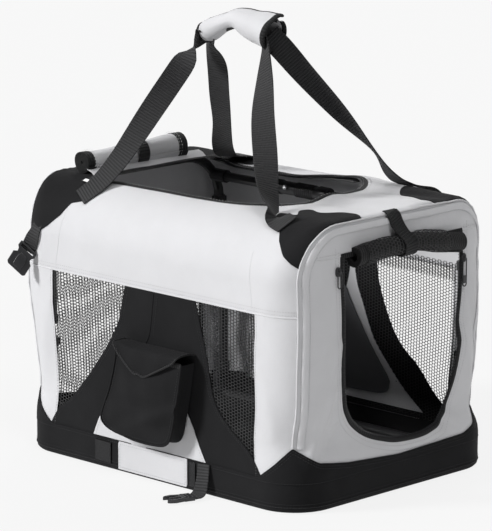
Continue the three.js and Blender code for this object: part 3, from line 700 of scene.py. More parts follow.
def flat_section(width, thick, lift=0.0):
    """A woven strap's section: flat faces and slightly thick edges."""
    w, t = width / 2, thick / 2
    half = [(-w, 0), (-w + 0.4, t * 1.1), (-w + 1.6, t * 1.15), (-w + 2.4, t), (0, t), (w - 2.4, t),
            (w - 1.6, t * 1.15), (w - 0.4, t * 1.1), (w, 0)]
    return [(a, b + lift) for a, b in half] + [(a, lift - b) for a, b in half[-2:0:-1]]


SEWN = {}


def sew(path, normals, thread, body, fold=None, pitch=4.4, length=3.0, size=0.38, lift=0.3):
    """Adds a row of stitches; each thread, body and fold becomes one piece at the end."""
    path = np.asarray(path, float)
    run = run_along(path)
    at = np.arange(pitch / 2, run[-1], pitch)
    if not len(at):
        return
    normal = unit(met_at(at, run, np.broadcast_to(normals, path.shape)))
    tangent = unit(met_at(at + 0.5, run, path) - met_at(at - 0.5, run, path))
    side = np.cross(tangent, normal)
    centre = met_at(at, run, path) + normal * lift
    SEWN.setdefault((thread, body, fold), []).append(
        (centre, tangent * length / 2, side * size, normal * size))


def finish_sewing():
    for number, ((thread, body, fold), rows) in enumerate(SEWN.items()):
        centre, along, side, up = [np.vstack(part) for part in zip(*rows)]
        ring = [centre + along, centre + side, centre + up, centre - side, centre - up,
                centre - along]
        points = np.stack(ring, axis=1).reshape(-1, 3)
        faces = []
        for i in range(len(centre)):
            k = 6 * i
            for a, b in ((1, 2), (2, 3), (3, 4), (4, 1)):
                faces += [[k, k + a, k + b], [k + 5, k + b, k + a]]
        piece(f"stitching_{number:02d}", points, faces, thread, body, fold, sharp=180)


def on_skin(place, line, step=6.0, lift=0.0, closed=False):
    return skin(place, spaced(line, step, closed), lift)


def seam(name, place, line, body, fold=None, look="grey", width=2.6, high=1.3):
    path, normal = on_skin(place, line)
    return sweep(name, path, normal, oval(width, high, 8), look, body, fold)


def stitch_line(place, line, thread, body, fold=None, lift=0.3, **how):
    path, normal = on_skin(place, line, 4.0)
    sew(path, normal, thread, body, fold, lift=lift, **how)


def sides_of(points, side):
    """The same (x, s) points on the front, or mirrored to the rear."""
    return [(x, s if side == "front" else GIRTH - s) for x, s in points]


# ---------------------------------------------------------------- net windows
NET_ROW, NET_COLUMN = 5.1, 6.2  # spacing of the cells up the columns and between columns
NET_OPEN = 0.83


def net(name, place, outline, body, fold=None, lift=-1.6, thick=0.55, look="net"):
    """Knitted net with real six-sided cells, over the flat outline."""
    outline = corners_kept(outline, 20)
    low, high = outline.min(0), outline.max(0)
    columns = np.arange(low[0], high[0], NET_COLUMN)
    rows = np.arange(low[1], high[1], NET_ROW)
    cx, cy = np.meshgrid(columns, rows)
    cy = cy + (np.arange(len(columns)) % 2)[None, :] * NET_ROW / 2
    centres = np.stack([cx.ravel(), cy.ravel()], axis=1)
    centres = centres[inside(centres, outline)]
    square = NET_ROW ** 2 / 4
    near = (NET_COLUMN ** 2 - square) / (2 * NET_COLUMN)
    far = (NET_COLUMN ** 2 + square) / (2 * NET_COLUMN)
    h = NET_ROW / 2
    cell = np.array([(near, h), (-near, h), (-far, 0), (-near, -h), (near, -h), (far, 0)])
    outer = centres[:, None] + cell
    keys = np.round(outer.reshape(-1, 2), 2)
    shared, index = np.unique(keys, axis=0, return_inverse=True)
    index = index.reshape(-1, 6)
    holes = (centres[:, None] + cell * NET_OPEN).reshape(-1, 2)
    uv = np.vstack([shared, holes])
    front, normal = skin(place, uv, lift)
    back = front - normal * thick
    n, m = len(uv), len(shared)
    faces = []
    for i, corner in enumerate(index):
        for a in range(6):
            b = (a + 1) % 6
            p, q, r, s = corner[a], corner[b], m + 6 * i + b, m + 6 * i + a
            faces += [[p, q, r, s], [p + n, s + n, r + n, q + n], [s, r, r + n, s + n]]
    return piece(name, np.vstack([front, back]), faces, look, body, fold, sharp=180)


# ---------------------------------------------------------------- front and rear
ARCH = [(94, 303), (105, 263), (119, 213), (132, 150), (162, 116), (212, 82), (236, 50)]
ARCH_LEFT = [(60, 303), (69, 267), (80, 233), (118, 178), (180, 108), (214, 80), (236, 46)]
REAR_ARCH = [(50, 303), (58, 250), (84, 190), (112, 155), (146, 130), (180, 95), (205, 70),
             (225, 46)]
ARCH_GAP = [(2, 288), (10, 245), (23, 213), (47, 161), (84, 117), (118, 80), (150, 53)]
WINDOW_X = 221.0
MID_SEAM = 302.0


def build_side(side):
    """One long side below the shoulder: net, black arch, grey strips and upper band."""
    flip = lambda points: sides_of(points, side)
    pipe = pipe_at(0.0)
    low = BASE_TOP - 7
    net(f"{side}_window_net", wrap, flip(rectangle(-232, 232, low, 308)), **WALLS)
    right = through(ARCH if side == "front" else REAR_ARCH, 5)
    left = (through(ARCH_LEFT, 5) if side == "front" else right)[::-1] * [-1, 1]
    arch = flip(tuples(right) + tuples(left))
    gap = through(ARCH_GAP, 5)
    gap = flip(tuples(gap) + tuples(gap[::-1] * [-1, 1]))
    holes = [gap] if side == "rear" else []
    panel(f"{side}_arch", wrap, arch, "black", holes=holes, lift=0.2, step=11, **WALLS)
    if side == "rear":
        panel("rear_inner_panel", wrap, [(x * 1.04, s) for x, s in gap], "grey", lift=-1.0, **WALLS)
        # Painted shade: a dark grey sheet inside the rear wall stands for the shadow of a pocket on
        # the rear, seen through the thin grey cloth.
        pocket_shadow_outline = through([(-28, 236), (-12, 234), (-2, 216), (40, 156), (82, 104), (86, 88),
                         (76, 74), (40, 69), (-60, 69), (-84, 84), (-80, 110), (-50, 180)], 5, True)
        panel("rear_inner_pocket_shadow", wrap, flip(tuples(pocket_shadow_outline)), "pocket_shadow", lift=-3.6, thick=0.8,
              **WALLS)
        for z in (42, 56):
            stitch_line(wrap, flip([(-150, z), (150, z)]), "thread_grey", lift=-2.5, **WALLS)
        # A second strip of net inside the top of the rear window, which makes the net darker in a
        # band there.
        net("rear_inner_net_band", wrap, flip(rectangle(-222, 222, 284, 303)), lift=-4.5, **WALLS)
    for sx, name in ((-1, "left"), (1, "right")):
        strip = flip([(sx * WINDOW_X, low), (sx * pipe, low), (sx * pipe, MID_SEAM),
                      (sx * (WINDOW_X - 2), MID_SEAM)])
        panel(f"{side}_strip_{name}", wrap, strip, "grey", **WALLS)
        hem = flip([(sx * (WINDOW_X + 2.5), low), (sx * (WINDOW_X + 1), MID_SEAM)])
        stitch_line(wrap, hem, "thread_grey", **WALLS)
        for inward in (4, 8):
            edge = [(x - sx * inward, s) for x, s in (right if sx > 0 else left)]
            stitch_line(wrap, flip(edge), "thread_black", lift=0.5, **WALLS)
    panel(f"{side}_band", wrap, flip(rectangle(-pipe, pipe, MID_SEAM, WALL_TOP)), "grey", **WALLS)
    across = flip([(-pipe, MID_SEAM), (pipe, MID_SEAM)])
    seam(f"{side}_seam_middle", wrap, across, **WALLS)
    for offset in (4, 9):
        stitch_line(wrap, flip([(-pipe, MID_SEAM + offset), (pipe, MID_SEAM + offset)]),
                    "thread_grey", **WALLS)
    for sx, name in ((-1, "left"), (1, "right")):
        foot, knee, head = (sx * 214, MID_SEAM), (sx * 209, WALL_TOP), (sx * 206, 396)
        fine = dict(width=1.8, high=0.9)
        seam(f"{side}_seam_{name}", wrap, flip([foot, knee]), **WALLS, **fine)
        seam(f"{side}_shoulder_seam_{name}", wrap, flip([knee, head]), **TOP, **fine)


def build_front_trim():
    """Light cloth behind the pocket, with its stitched edge and the folds in the arch."""
    inner = [(-134, BASE_TOP - 2), (-121, 80), (-98, 107), (-60, 160), (48, 160), (80, 110),
             (97, 82), (118, BASE_TOP - 2)]
    panel("front_inner_panel", wrap, inner, "grey", lift=1.2, step=10, **WALLS)
    for line in (inner[:4], inner[4:]):
        stitch_line(wrap, [(x * 0.965, s) for x, s in line], "thread_grey", lift=1.6, **WALLS)
    seam("arch_fold", wrap, through([(3, 298), (-7, 232), (-24, 208)], 8), look="black", width=3,
         high=2.2, **WALLS)
    stitch_line(wrap, [(12, 296), (2, 232)], "thread_black", lift=0.6, **WALLS)


# ---------------------------------------------------------------- base
def base_top(q):
    """Height of the black base cloth at length q round the plan."""
    q = np.abs(np.asarray(q, float))
    stations = [(0, BASE_TOP), (205, BASE_TOP), (228, 50), (258, 72), (CORNER_Q, 99), (331, 75),
                (393, 66), (END_Q, 58), (655, 62), (690, 74), (REAR_CORNER_Q, 99), (752, 71),
                (782, 50), (810, BASE_TOP), (PLAN_LENGTH / 2, BASE_TOP)]
    return np.interp(q, *zip(*stations))


def build_base():
    """The stiff black tray, its corner patches and its hem."""
    rim, radius, thick = 1.6, 7.0, 1.4
    heights = [radius, 10, 18, 28, 38, BASE_TOP]
    steps = spaced([(0, 0), (PLAN_LENGTH, 0)], 9)[:-1, 0]
    rows = []
    rounding = [(radius * (1 - math.cos(a)), radius * (1 - math.sin(a)))
                for a in np.radians([90, 60, 30, 0])]
    for drop, z in rounding[:-1]:
        p, n = wall(np.stack([steps, np.full_like(steps, z)], axis=1))
        rows.append(p + n * (rim - drop))
    for z in heights:
        p, n = skin(wall, np.stack([steps, np.full_like(steps, z)], axis=1), rim)
        swell = 0.7 * waves(p, 70, 5) * smooth((z - 8) / 12)
        rows.append(p + n * swell[:, None])
    count = len(steps)
    grid = np.array(rows)
    outer = np.vstack([grid.reshape(-1, 3), [[0, 0, 0.0]]])
    index = lambda i, j: i * count + j % count
    faces = [[index(i, j), index(i, j + 1), index(i + 1, j + 1), index(i + 1, j)]
             for i in range(len(rows) - 1) for j in range(count)]
    faces += [[index(0, j + 1), index(0, j), len(outer) - 1] for j in range(count)]
    shrink = np.array([1 - 2.4 / HALF_L, 1 - 2.4 / HALF_W, 1])
    inner = outer * shrink + [0, 0, thick]
    inner[count * (len(rows) - 1):-1, 2] -= thick
    uv = np.stack([np.tile(steps, len(rows)), np.repeat(grid[:, 0, 2], count)], axis=1)
    uv = np.vstack([uv, [[0, 0]]])
    band = cloth_piece("base_cloth", outer, inner, faces, "black", "root", uv=uv)
    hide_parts("base_cover")

    outline_q = np.arange(-12, PLAN_LENGTH - 12, 7.0)
    for name, start, stop in (("right", 205, 805), ("left", -805, -205)):
        q = np.linspace(start, stop, 90)
        top = [(a, float(base_top(a))) for a in q]
        low = [(b, BASE_TOP - 6) for b in q[::-1]]
        panel(f"base_patch_{name}", wall, top + low, "black", **WALLS, lift=1.8, step=10)
        for offset in (4, 8):
            stitch_line(wall, [(a, b - offset) for a, b in top if b - offset > BASE_TOP + 1],
                        "thread_black", **WALLS, lift=2.2)
    hem = [(a, 9) for a in outline_q]
    path, normal = on_skin(wall, hem, 7, rim)
    sweep("base_hem", path, normal, oval(1.6, 1.8, 8), "binding", "root")
    for height in (BASE_TOP - 5, 14):
        stitch_line(wall, [(a, height) for a in outline_q], "thread_black", "root", lift=rim + 0.4)


# ---------------------------------------------------------------- roof
ROOF_OPENING = through(
    [(-216, 470), (-173, 476), (-85, 480), (19, 487), (112, 497), (152, 524), (173, 585),
     (172, 645), (152, 712), (118, 749), (55, 758), (-60, 759), (-216, 757)], 7)


def about(centre, line, scale):
    """The line made larger or smaller about a centre."""
    return centre + (line - centre) * scale


def build_roof():
    """Roof and shoulders as one cloth, with the bound and zipped opening."""
    right = [(pipe_at(s), s) for s in np.linspace(WALL_TOP, GIRTH - WALL_TOP, 70)]
    outline = right + [(-x, s) for x, s in reversed(right)]
    panel("roof_shell", wrap, outline, "grey", "top_frame", holes=[ROOF_OPENING], step=9)
    edge, normal = on_skin(wrap, ROOF_OPENING, 5, -0.3)
    sweep("roof_binding", edge, normal, oval(9, 3.6, 12), "binding", "top_frame")
    middle = ROOF_OPENING.mean(0)
    stitch_line(wrap, about(middle, ROOF_OPENING, 0.985)[4:-2], "thread_white", "top_frame",
                lift=1.7, pitch=6, length=2.2, size=0.3)
    stitch_line(wrap, about(middle, ROOF_OPENING, 1.055)[3:-2], "thread_grey", "top_frame")
    left = [(-216, s) for s in np.linspace(470, 757, 40)]
    path, up = on_skin(wrap, left, 6, 0.4)
    sweep("roof_hinge_tape", path, up, oval(11, 2.4, 10), "binding", "top_frame")
    build_zip_teeth("roof_zip", wrap, about(middle, ROOF_OPENING, 0.965), "top_frame")
    rear = through([(-214, 742), (-60, 742), (60, 741), (112, 733)], 10)
    pocket_shadow = tuples(rear) + [(140, 790), (-214, 800)]
    panel("roof_lining_rear", wrap, pocket_shadow, "coated", "top_frame", lift=-3.2, thick=0.8, step=10)


def build_tag():
    """A small woven tag sewn beside the root of a handle strap."""
    panel("strap_tag", wrap, [(-215, 459), (-199, 457), (-199, 463), (-215, 466)], "thread_white",
          "top_frame", lift=4.4, thick=0.8, step=6)


def build_zip_teeth(name, place, line, body, fold=None):
    """A zip's coil: small teeth along the edge of the opening."""
    path, normal = on_skin(place, line, 2.4, -0.6)
    tangent, side, up = frames(path, normal)
    points, faces = [], []
    box_faces = ((0, 1, 3, 2), (4, 6, 7, 5), (0, 4, 5, 1), (2, 3, 7, 6), (0, 2, 6, 4), (1, 5, 7, 3))
    half_wide, half_high, half_long = 1.7, 0.7, 0.65
    for i, p in enumerate(path):
        k = len(points)
        shift = 0.5 if i % 2 else -0.5
        for a, b, c in itertools.product((-1, 1), repeat=3):
            points.append(p + side[i] * (half_wide * a + shift) + up[i] * half_high * b
                          + tangent[i] * half_long * c)
        faces += [[k + a for a in f] for f in box_faces]
    return piece(name, points, faces, "plastic", body, fold)


def build_shoulder_patches():
    """Black cloth over each end of each shoulder, with the roots of the handle straps."""
    shapes = {
        ("front", "left"): [(-164, 440), (-172, 424), (-203, 413), (-214, 391), (-236, 370),
                            (-262, 352)],
        ("front", "right"): [(236, 436), (247, 419), (267, 397), (281, 388)],
        ("rear", "left"): [(-208, 416), (-226, 396), (-246, 376), (-268, 354)],
        ("rear", "right"): [(222, 436), (240, 414), (262, 392), (281, 380)],
    }
    tops = {
        ("front", "left"): [(-292, 352), (-303, 545), (-290, 552), (-262, 540), (-236, 548),
                            (-214, 534), (-196, 512), (-166, 478), (-160, 455)],
        ("front", "right"): [(289, 384), (303, 546), (284, 553), (262, 548), (240, 524), (214, 530),
                             (207, 512), (226, 486), (206, 484), (196, 478), (212, 446)],
        ("rear", "left"): [(-292, 352), (-303, 545), (-284, 553), (-250, 540), (-222, 534),
                           (-198, 508), (-150, 480), (-150, 440)],
        ("rear", "right"): [(289, 384), (303, 540), (280, 548), (252, 536), (226, 532), (204, 512),
                            (188, 480), (188, 440)],
    }
    for (side, hand), low in shapes.items():
        sx = -1 if hand == "left" else 1
        outer = tops[(side, hand)]
        start, stop = outer[0][1], outer[1][1]
        rim = [(sx * (pipe_at(s) - 0.5), s) for s in np.linspace(start, stop, 24)]
        ring = rim + tuples(through(outer[2:], 5)) + low
        panel(f"shoulder_patch_{side}_{hand}", wrap, sides_of(ring, side), "black", "top_frame",
              lift=1.3, step=8)


# ---------------------------------------------------------------- ends
DOOR_LEFT = [(-132, END_SEAM), (-132, 321), (-131, 250), (-123, 165), (-108, 134), (-88, 114),
             (-62, 97), (-31, 86)]
DOOR_RIGHT = [(0, 79), (49, 77), (82, 81), (107, 91), (130, 132), (143, 205), (137, 246),
              (146, 336), (147, END_SEAM)]


def depth_line(z0, z1, count=24):
    """(y, z) of the piped seam on the rear half of an end panel, upward."""
    s = np.linspace(z0, z1, count)
    p, _ = wrap(np.stack([pipe_x(s), s], axis=1))
    return [(-y, z) for y, z in p[:, 1:]]


def build_ends():
    """Both end panels, each in a lower part on the root body and an upper part on the roof frame.
    """
    pipe_low = depth_line(BASE_TOP - 6, WALL_TOP)
    pipe_high = depth_line(WALL_TOP, GIRTH / 2, 60)
    mirror = lambda line: [(-y, z) for y, z in line]
    door = through(DOOR_LEFT + DOOR_RIGHT, 5)
    door_low = tuples(door[door[:, 1] < WALL_TOP])
    first, last = door_low[0][0], door_low[-1][0]
    lower = (mirror(pipe_low)[::-1] + pipe_low + [(last, WALL_TOP)] + door_low[::-1]
             + [(first, WALL_TOP)])
    upper = (mirror(pipe_high) + pipe_high[::-1][1:]
             + [(door[-1][0], WALL_TOP), (door[-1][0], END_SEAM), (door[0][0], END_SEAM),
                (door[0][0], WALL_TOP)])
    right, left = end_panel(1), end_panel(-1)
    panel("end_right_lower", right, lower, "grey", **WALLS, step=8)
    panel("end_right_upper", right, upper, "grey", "top_frame", step=8)
    window = np.array(arc(134, 106, 48, 270, 360, 6) + arc(146, 264, 36, 0, 90, 5)
                      + arc(-146, 264, 36, 90, 180, 5) + arc(-134, 106, 48, 180, 270, 6))
    whole = mirror(pipe_low)[::-1] + pipe_low
    panel("end_left_lower", left, whole, "grey", **WALLS, holes=[window], step=8)
    panel("end_left_upper", left, mirror(pipe_high) + pipe_high[::-1][1:], "grey", "top_frame",
          step=9)
    build_far_window(left, window)
    build_door_edge(right, door)
    for place, hand in ((right, "right"), (left, "left")):
        seam(f"end_seam_{hand}", place, [(-198, END_SEAM), (198, END_SEAM)], width=2.2, high=1.4,
             **TOP)
        stitch_line(place, [(-196, END_SEAM + 5), (196, END_SEAM + 5)], "thread_grey", **TOP)
    build_piping()


def split_at_shoulder(line):
    """The parts of a door line below and above the split at the top of the walls."""
    line = np.asarray(line)
    low = line[line[:, 1] <= WALL_TOP + 2]
    front = line[(line[:, 1] >= WALL_TOP - 2) & (line[:, 0] < 0)]
    rear = line[(line[:, 1] >= WALL_TOP - 2) & (line[:, 0] > 0)]
    return low, front, rear


def build_door_edge(place, door):
    """The door's binding, zip and stitches; the head of the door rides on the roof frame."""
    low, front, rear = split_at_shoulder(spaced(door, 4))
    centre = np.array([5.0, 240.0])
    for name, line, rides in (("lower", low, WALLS), ("front", front, TOP), ("rear", rear, TOP)):
        path, normal = skin(place, line, 0.1)
        sweep(f"door_binding_{name}", path, normal, oval(7.5, 4.0, 12), "binding", **rides)
        for grow in (1.055, 1.10):
            stitch_line(place, about(centre, line, grow), "thread_grey", **rides)
        build_zip_teeth(f"door_zip_{name}", place, about(centre, line, 0.975), **rides)
    path, normal = on_skin(place, [(-134, END_SEAM), (149, END_SEAM)], 5, 0.1)
    sweep("door_binding_top", path, normal, oval(8, 3.6, 12), "binding", "top_frame")


def build_far_window(place, window):
    """The other end is one large net window, bound and stitched round its edge."""
    middle = 185  # height of the window's middle
    net("far_window_net", place, window * 1.03 - [0, middle * 0.03], **WALLS)
    path, normal = skin(place, spaced(window, 5, True), 0.2)
    sweep("far_window_binding", path, normal, oval(9, 3.4, 12), "binding", **WALLS,
          closed=True)
    for grow in (1.05, 1.09):
        line = window * grow - [0, middle * (grow - 1)]
        stitch_line(place, line[line[:, 1] > BASE_TOP + 4], "thread_grey", **WALLS)


PIPE_FOOT = 98  # the piping comes out of the corner patches of the base here


def build_piping():
    """Piped seams over both hoops, and the padded hem that runs beside each."""
    for sx, hand in ((-1, "left"), (1, "right")):
        parts = (("front", PIPE_FOOT, WALL_TOP, WALLS),
                 ("top", WALL_TOP, GIRTH - WALL_TOP, TOP),
                 ("rear", GIRTH - WALL_TOP, GIRTH - PIPE_FOOT, WALLS))
        for name, first, last, rides in parts:
            s = np.arange(first, last + 3, 6.0)
            s[-1] = last
            path, normal = skin(wrap, np.stack([sx * pipe_x(s), s], axis=1), 0.6)
            path = path + normal * (0.6 * waves(path, 17, 51))[:, None]
            sweep(f"piping_{hand}_{name}", path, normal, oval(3.2, 3.2, 8), "grey", **rides)
            path, normal = skin(end_panel(sx), hoop_inset(s, 9), 0.3)
            path = path + normal * waves(path, 24, 52)[:, None]
            sweep(f"hem_{hand}_{name}", path, normal, oval(11, 3.0, 12), "grey_soft", **rides)
            for inset in (4.5, 14.5):
                path, normal = skin(end_panel(sx), hoop_inset(s, inset), 0.6)
                sew(path, normal, "thread_grey", lift=0.9, **rides)


def hoop_inset(s, inset):
    """(y, z) of the line that runs inset inside the piped seam's corner."""
    y, z, ny, nz = girth_point(s)
    inset = PIPE_SHARE * edge_radius(s) + inset
    return np.stack([y - ny * inset, z - nz * inset], axis=1)


# ---------------------------------------------------------------- rolled covers


def roll_axes(start, stop):
    """Directions along a roll, level across it, and square to both."""
    axis = unit(stop - start)
    side = unit(np.cross(axis, [0, 0, 1]))
    return axis, side, np.cross(side, axis)


def around(centre, side, up, radius, angles):
    """Points round a centre, from side towards up."""
    round_side = centre + side * (radius * np.cos(angles))[:, None]
    return round_side + up * (radius * np.sin(angles))[:, None]


def spiral_roll(name, start, stop, radii, look, body, turns=5.0, core=4.0, thick=1.2, span=(0, 1),
                pinch=None, lump=0.6, grow=0.0, phase=0.0, bow=0.0):
    """A sheet of cloth wound on itself from start to stop."""
    start, stop = np.array(start, float), np.array(stop, float)
    axis, side, up = roll_axes(start, stop)
    length = np.linalg.norm(stop - start)
    stations = np.linspace(span[0], span[1], max(3, int(length * (span[1] - span[0]) / 6)))
    angles = np.linspace(0, 2 * math.pi * turns, int(turns * 22))
    rows, uv, middles = [], [], []
    for t in stations:
        outer = radii[0] + (radii[1] - radii[0]) * t + grow
        if pinch:
            outer *= 1 - pinch[1] * bump(t, pinch[0], pinch[2])
        r = core + (outer - core) * angles / angles[-1]
        flat = np.stack([np.full_like(angles, t * length), r * np.cos(angles), r * np.sin(angles)],
                        axis=1)
        r = r + lump * waves(flat, 45, 21) * smooth(angles / angles[-1] * 3 - 1.6)
        centre = start + axis * length * t + [0, 0, bow * math.sin(math.pi * t)]
        middles.append(centre)
        rows.append(around(centre, side, up, r, angles + phase))
        uv.append(np.stack([r * angles, np.full_like(angles, t * length)], axis=1))
    grid = np.array(rows)
    outward = unit(grid - np.array(middles)[:, None])
    return wound_piece(name, grid, outward, thick, look, body, uv, sharp=60)


def wound_piece(name, grid, outward, thick, look, body, uv, sharp):
    """Cloth over a grid of points, thick inward from it."""
    flat, faces = grid.reshape(-1, 3), quads(*grid.shape[:2])
    inner = (grid - outward * thick).reshape(-1, 3)
    return cloth_piece(name, flat, inner, facing(flat, faces, outward.reshape(-1, 3)), look, body,
                       uv=np.vstack(uv), sharp=sharp)


def ring_band(name, start, stop, t0, t1, radius, thick, look, body):
    """A strap round a roll."""
    _, side, up = roll_axes(start, stop)
    centre = start + (stop - start) * (t0 + t1) / 2
    path = around(centre, side, up, radius, np.linspace(0, 2 * math.pi, 40, endpoint=False))
    outward = unit(path - centre)
    width = np.linalg.norm(stop - start) * (t1 - t0)
    return sweep(name, path, outward, flat_section(width, thick), look, body, closed=True)


def build_flap_roll():
    """The roof flap rolled back, its bound ends, its strap and the apron that it hangs from."""
    front, rear = np.array([-248.0, -142, 458]), np.array([-239.0, 68, 462])
    radii, pinch = (17.5, 21.5), (0.56, 0.12, 0.08)
    common = dict(body="top_frame", turns=6.6, core=3.0, phase=2.2, lump=1.6)
    roll = spiral_roll("flap_rolled", front, rear, radii, "grey", span=(0.06, 0.93), pinch=pinch,
                       **common)
    tape_front = spiral_roll("flap_binding_front", front, rear, radii, "binding", span=(0.0, 0.075),
                             grow=0.9, thick=1.9, **common)
    spiral_roll("flap_binding_rear", front, rear, radii, "binding", span=(0.915, 1.0), grow=1.0,
                thick=2.0, **common)
    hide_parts("top_flap_roll")
    band = ring_band("flap_strap", front, rear, 0.50, 0.61, 20.2, 1.4, "webbing", "top_frame")
    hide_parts("flap_band")
    _, side, up = roll_axes(front, rear)
    for t in (0.062, 0.09, 0.905, 0.93):
        radius = radii[0] + (radii[1] - radii[0]) * t + 1.0
        centre = front + (rear - front) * t
        path = around(centre, side, up, radius, np.linspace(-0.6, 3.9, 40))
        sew(path, unit(path - centre), "thread_white", "top_frame", pitch=5, length=3.4, size=0.45,
            lift=0.7)
    apron = [(-216, s) for s in np.linspace(486, 735, 30)]
    edge, _ = on_skin(wrap, apron, 8, 1.0)
    flat = np.vstack([edge, edge + [-8, 0, 6], edge + [-18, 0, 9]])
    cloth_piece("flap_apron", flat, flat - [0, 0, 1.2], quads(3, len(edge)), "grey", "top_frame",
                uv=flat[:, :2])


def build_door_roll():
    """The mesh door rolled up under the head of the doorway, with its loop of binding."""
    left, right = np.array([312.0, -110, 384]), np.array([312.0, 133, 371])
    bow, pinch = 11, (0.47, 0.10, 0.12)
    common = dict(body="top_frame", bow=bow, phase=1.0)
    roll = spiral_roll("door_rolled", left, right, (14.5, 15.0), "wound", turns=5.6, core=4.0,
                       span=(0.05, 0.88), pinch=pinch, lump=2.2, **common)
    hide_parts("door_roll")
    ends = [spiral_roll("door_roll_ring", left, right, (13.6, 14.6), "binding", turns=4.0,
                        core=9.0, span=(0.0, 0.08), grow=2.6, thick=2.6, **common),
            spiral_roll("door_roll_knob", left, right, (13.6, 15.5), "binding", turns=4.6, lump=1.6,
                        core=2.0, span=(0.85, 1.0), grow=1.4, thick=2.6, **common)]
    run, radius = right - left, 15.0
    length = np.linalg.norm(run)

    def round_the_roll(uv):
        """The roll's outermost turn, unwound: length along the roll, and length round it."""
        t, angle = uv[:, 0] / length, uv[:, 1] / radius
        pinched = 1 - pinch[1] * bump(t, pinch[0], pinch[2])
        r = (15.4 + 0.5 * t) * pinched + 0.6 * np.sin(t * 21 + angle)
        outward = np.stack([np.cos(angle), np.zeros_like(angle), np.sin(angle)], axis=1)
        middle = left + run * t[:, None] + [0, 0, 1] * (bow * np.sin(math.pi * t))[:, None]
        return middle + outward * r[:, None], outward

    net("door_roll_outer_turn", round_the_roll, rectangle(22, 213, 0, radius * 2 * math.pi),
        "top_frame", lift=1.2, thick=0.9, look="net_light")
    loop = through([(300, 441.5), (305, 440.5), (309.5, 434), (312, 420), (318, 408), (327, 398),
                    (329.5, 388), (326, 376), (316, 371), (305, 373), (297, 384), (293, 396)], 5)
    slant = np.interp(loop[:, 1], [371, 392, 440], [4, 1, -20])
    path = np.stack([loop[:, 0], slant, loop[:, 1]], axis=1)
    tangent = unit(np.gradient(path, axis=0))
    outward = np.cross(tangent, [0, -1, 0])
    strap_piece = sweep("door_strap", path, outward, flat_section(27, 1.5), "binding", "top_frame")
    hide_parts("door_band")
    for at in (8, 14):
        line = np.array([path[at] + [0, -12, 0], path[at] + [0, 12, 0]])
        sew(line, outward[at], "thread_grey", "top_frame", pitch=3, length=2, lift=1.4)


# ---------------------------------------------------------------- handle
def build_handle():
    """A padded cover wrapped round the straps, with one edge flaring out at its right end."""
    axis = through([(-112, 0, 667), (-84, 0, 678), (-42, 0, 693), (-4, 0, 687), (38, 0, 679)], 9)
    t = np.linspace(0, 1, len(axis))
    radius = np.interp(t, [0, 0.12, 0.42, 0.72, 1], [15, 18.5, 15, 22, 26])
    flare = np.interp(t, [0, 0.4, 0.7, 1], [0.02, 0.06, 0.16, 0.30])
    tangent = unit(np.gradient(axis, axis=0))
    up = unit(np.cross(tangent, [0, -1.0, 0]))
    up *= np.sign(up[:, 2:3])
    back = np.cross(tangent, up)
    back *= np.sign(back[:, 1:2])
    turn = np.radians(np.linspace(-24, 318, 64))  # from the rear edge, over the top, to the front
    edge = smooth((math.radians(25) - turn) / math.radians(50))
    rows, uv = [], []
    for i in range(len(axis)):
        flat = np.stack([np.full_like(turn, axis[i, 0]), 20 * np.sin(turn), 20 * np.cos(turn)],
                        axis=1)
        squeeze = 1 - 0.25 * bump(t[i], 0.42, 0.16) * np.maximum(0, -np.cos(turn))
        r = radius[i] * squeeze * (1 + flare[i] * edge) + 0.7 * waves(flat, 38, 31)
        rows.append(around(axis[i], up[i], -back[i], r, turn))
        uv.append(np.stack([r * turn, np.full_like(turn, 176 * t[i])], axis=1))
    grid = np.array(rows)
    outward = unit(grid - axis[:, None])
    cover = wound_piece("handle_cover", grid, outward, 3.0, "grey", "handle", uv, sharp=70)
    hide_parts("handle_wrap")
    for name, line, normal in (("left", grid[0], outward[0]), ("right", grid[-1], outward[-1]),
                               ("flap", grid[4:, 0], outward[4:, 0]),
                               ("front", grid[4:-2, -1], outward[4:-2, -1])):
        sweep(f"handle_binding_{name}", line - normal * 1.5, normal, oval(10, 5.4, 12), "binding",
              "handle")
    core = axis[1:-3] - up[1:-3] * 3
    sweep("handle_core", core, up[1:-3], oval(22, 20, 16), "webbing", "handle")
    build_legs()


def strap(name, stations, width, thick, look, body, fold=None, per_span=7, above=None, below=None):
    """A flat strap through stations of (centre, side direction), or its part beyond a height."""
    centres = through([c for c, _ in stations], per_span)
    sides = unit(through([unit(s) for _, s in stations], per_span))
    tangent = unit(np.gradient(centres, axis=0))
    normal = unit(np.cross(sides, tangent))
    sides = np.cross(tangent, normal)
    if above or below:
        meet = int(np.argmax(centres[:, 2] < (above or below)))
        kept = slice(0, meet + 1) if above else slice(meet, None)
        centres, sides, normal = centres[kept], sides[kept], normal[kept]
    return carried(name, centres, sides, normal, flat_section(width, thick), look, body, fold)


def turned(degrees):
    """A strap's side direction: 0 lies square across the bag's corner, 90 runs out through it."""
    a = math.radians(degrees)
    return (0.71 * math.cos(a) + 0.68 * math.sin(a), 0.7 * math.cos(a) - 0.7 * math.sin(a),
            0.21 * math.sin(a))


LEG_SIZE = (38, 1.8)  # width and thickness
LEG_REST = 441.0  # a lowered leg lies on the roof at this height; below it the strap is sewn down
LEG_KEEP = 0.12  # share of its height that a lowered leg keeps


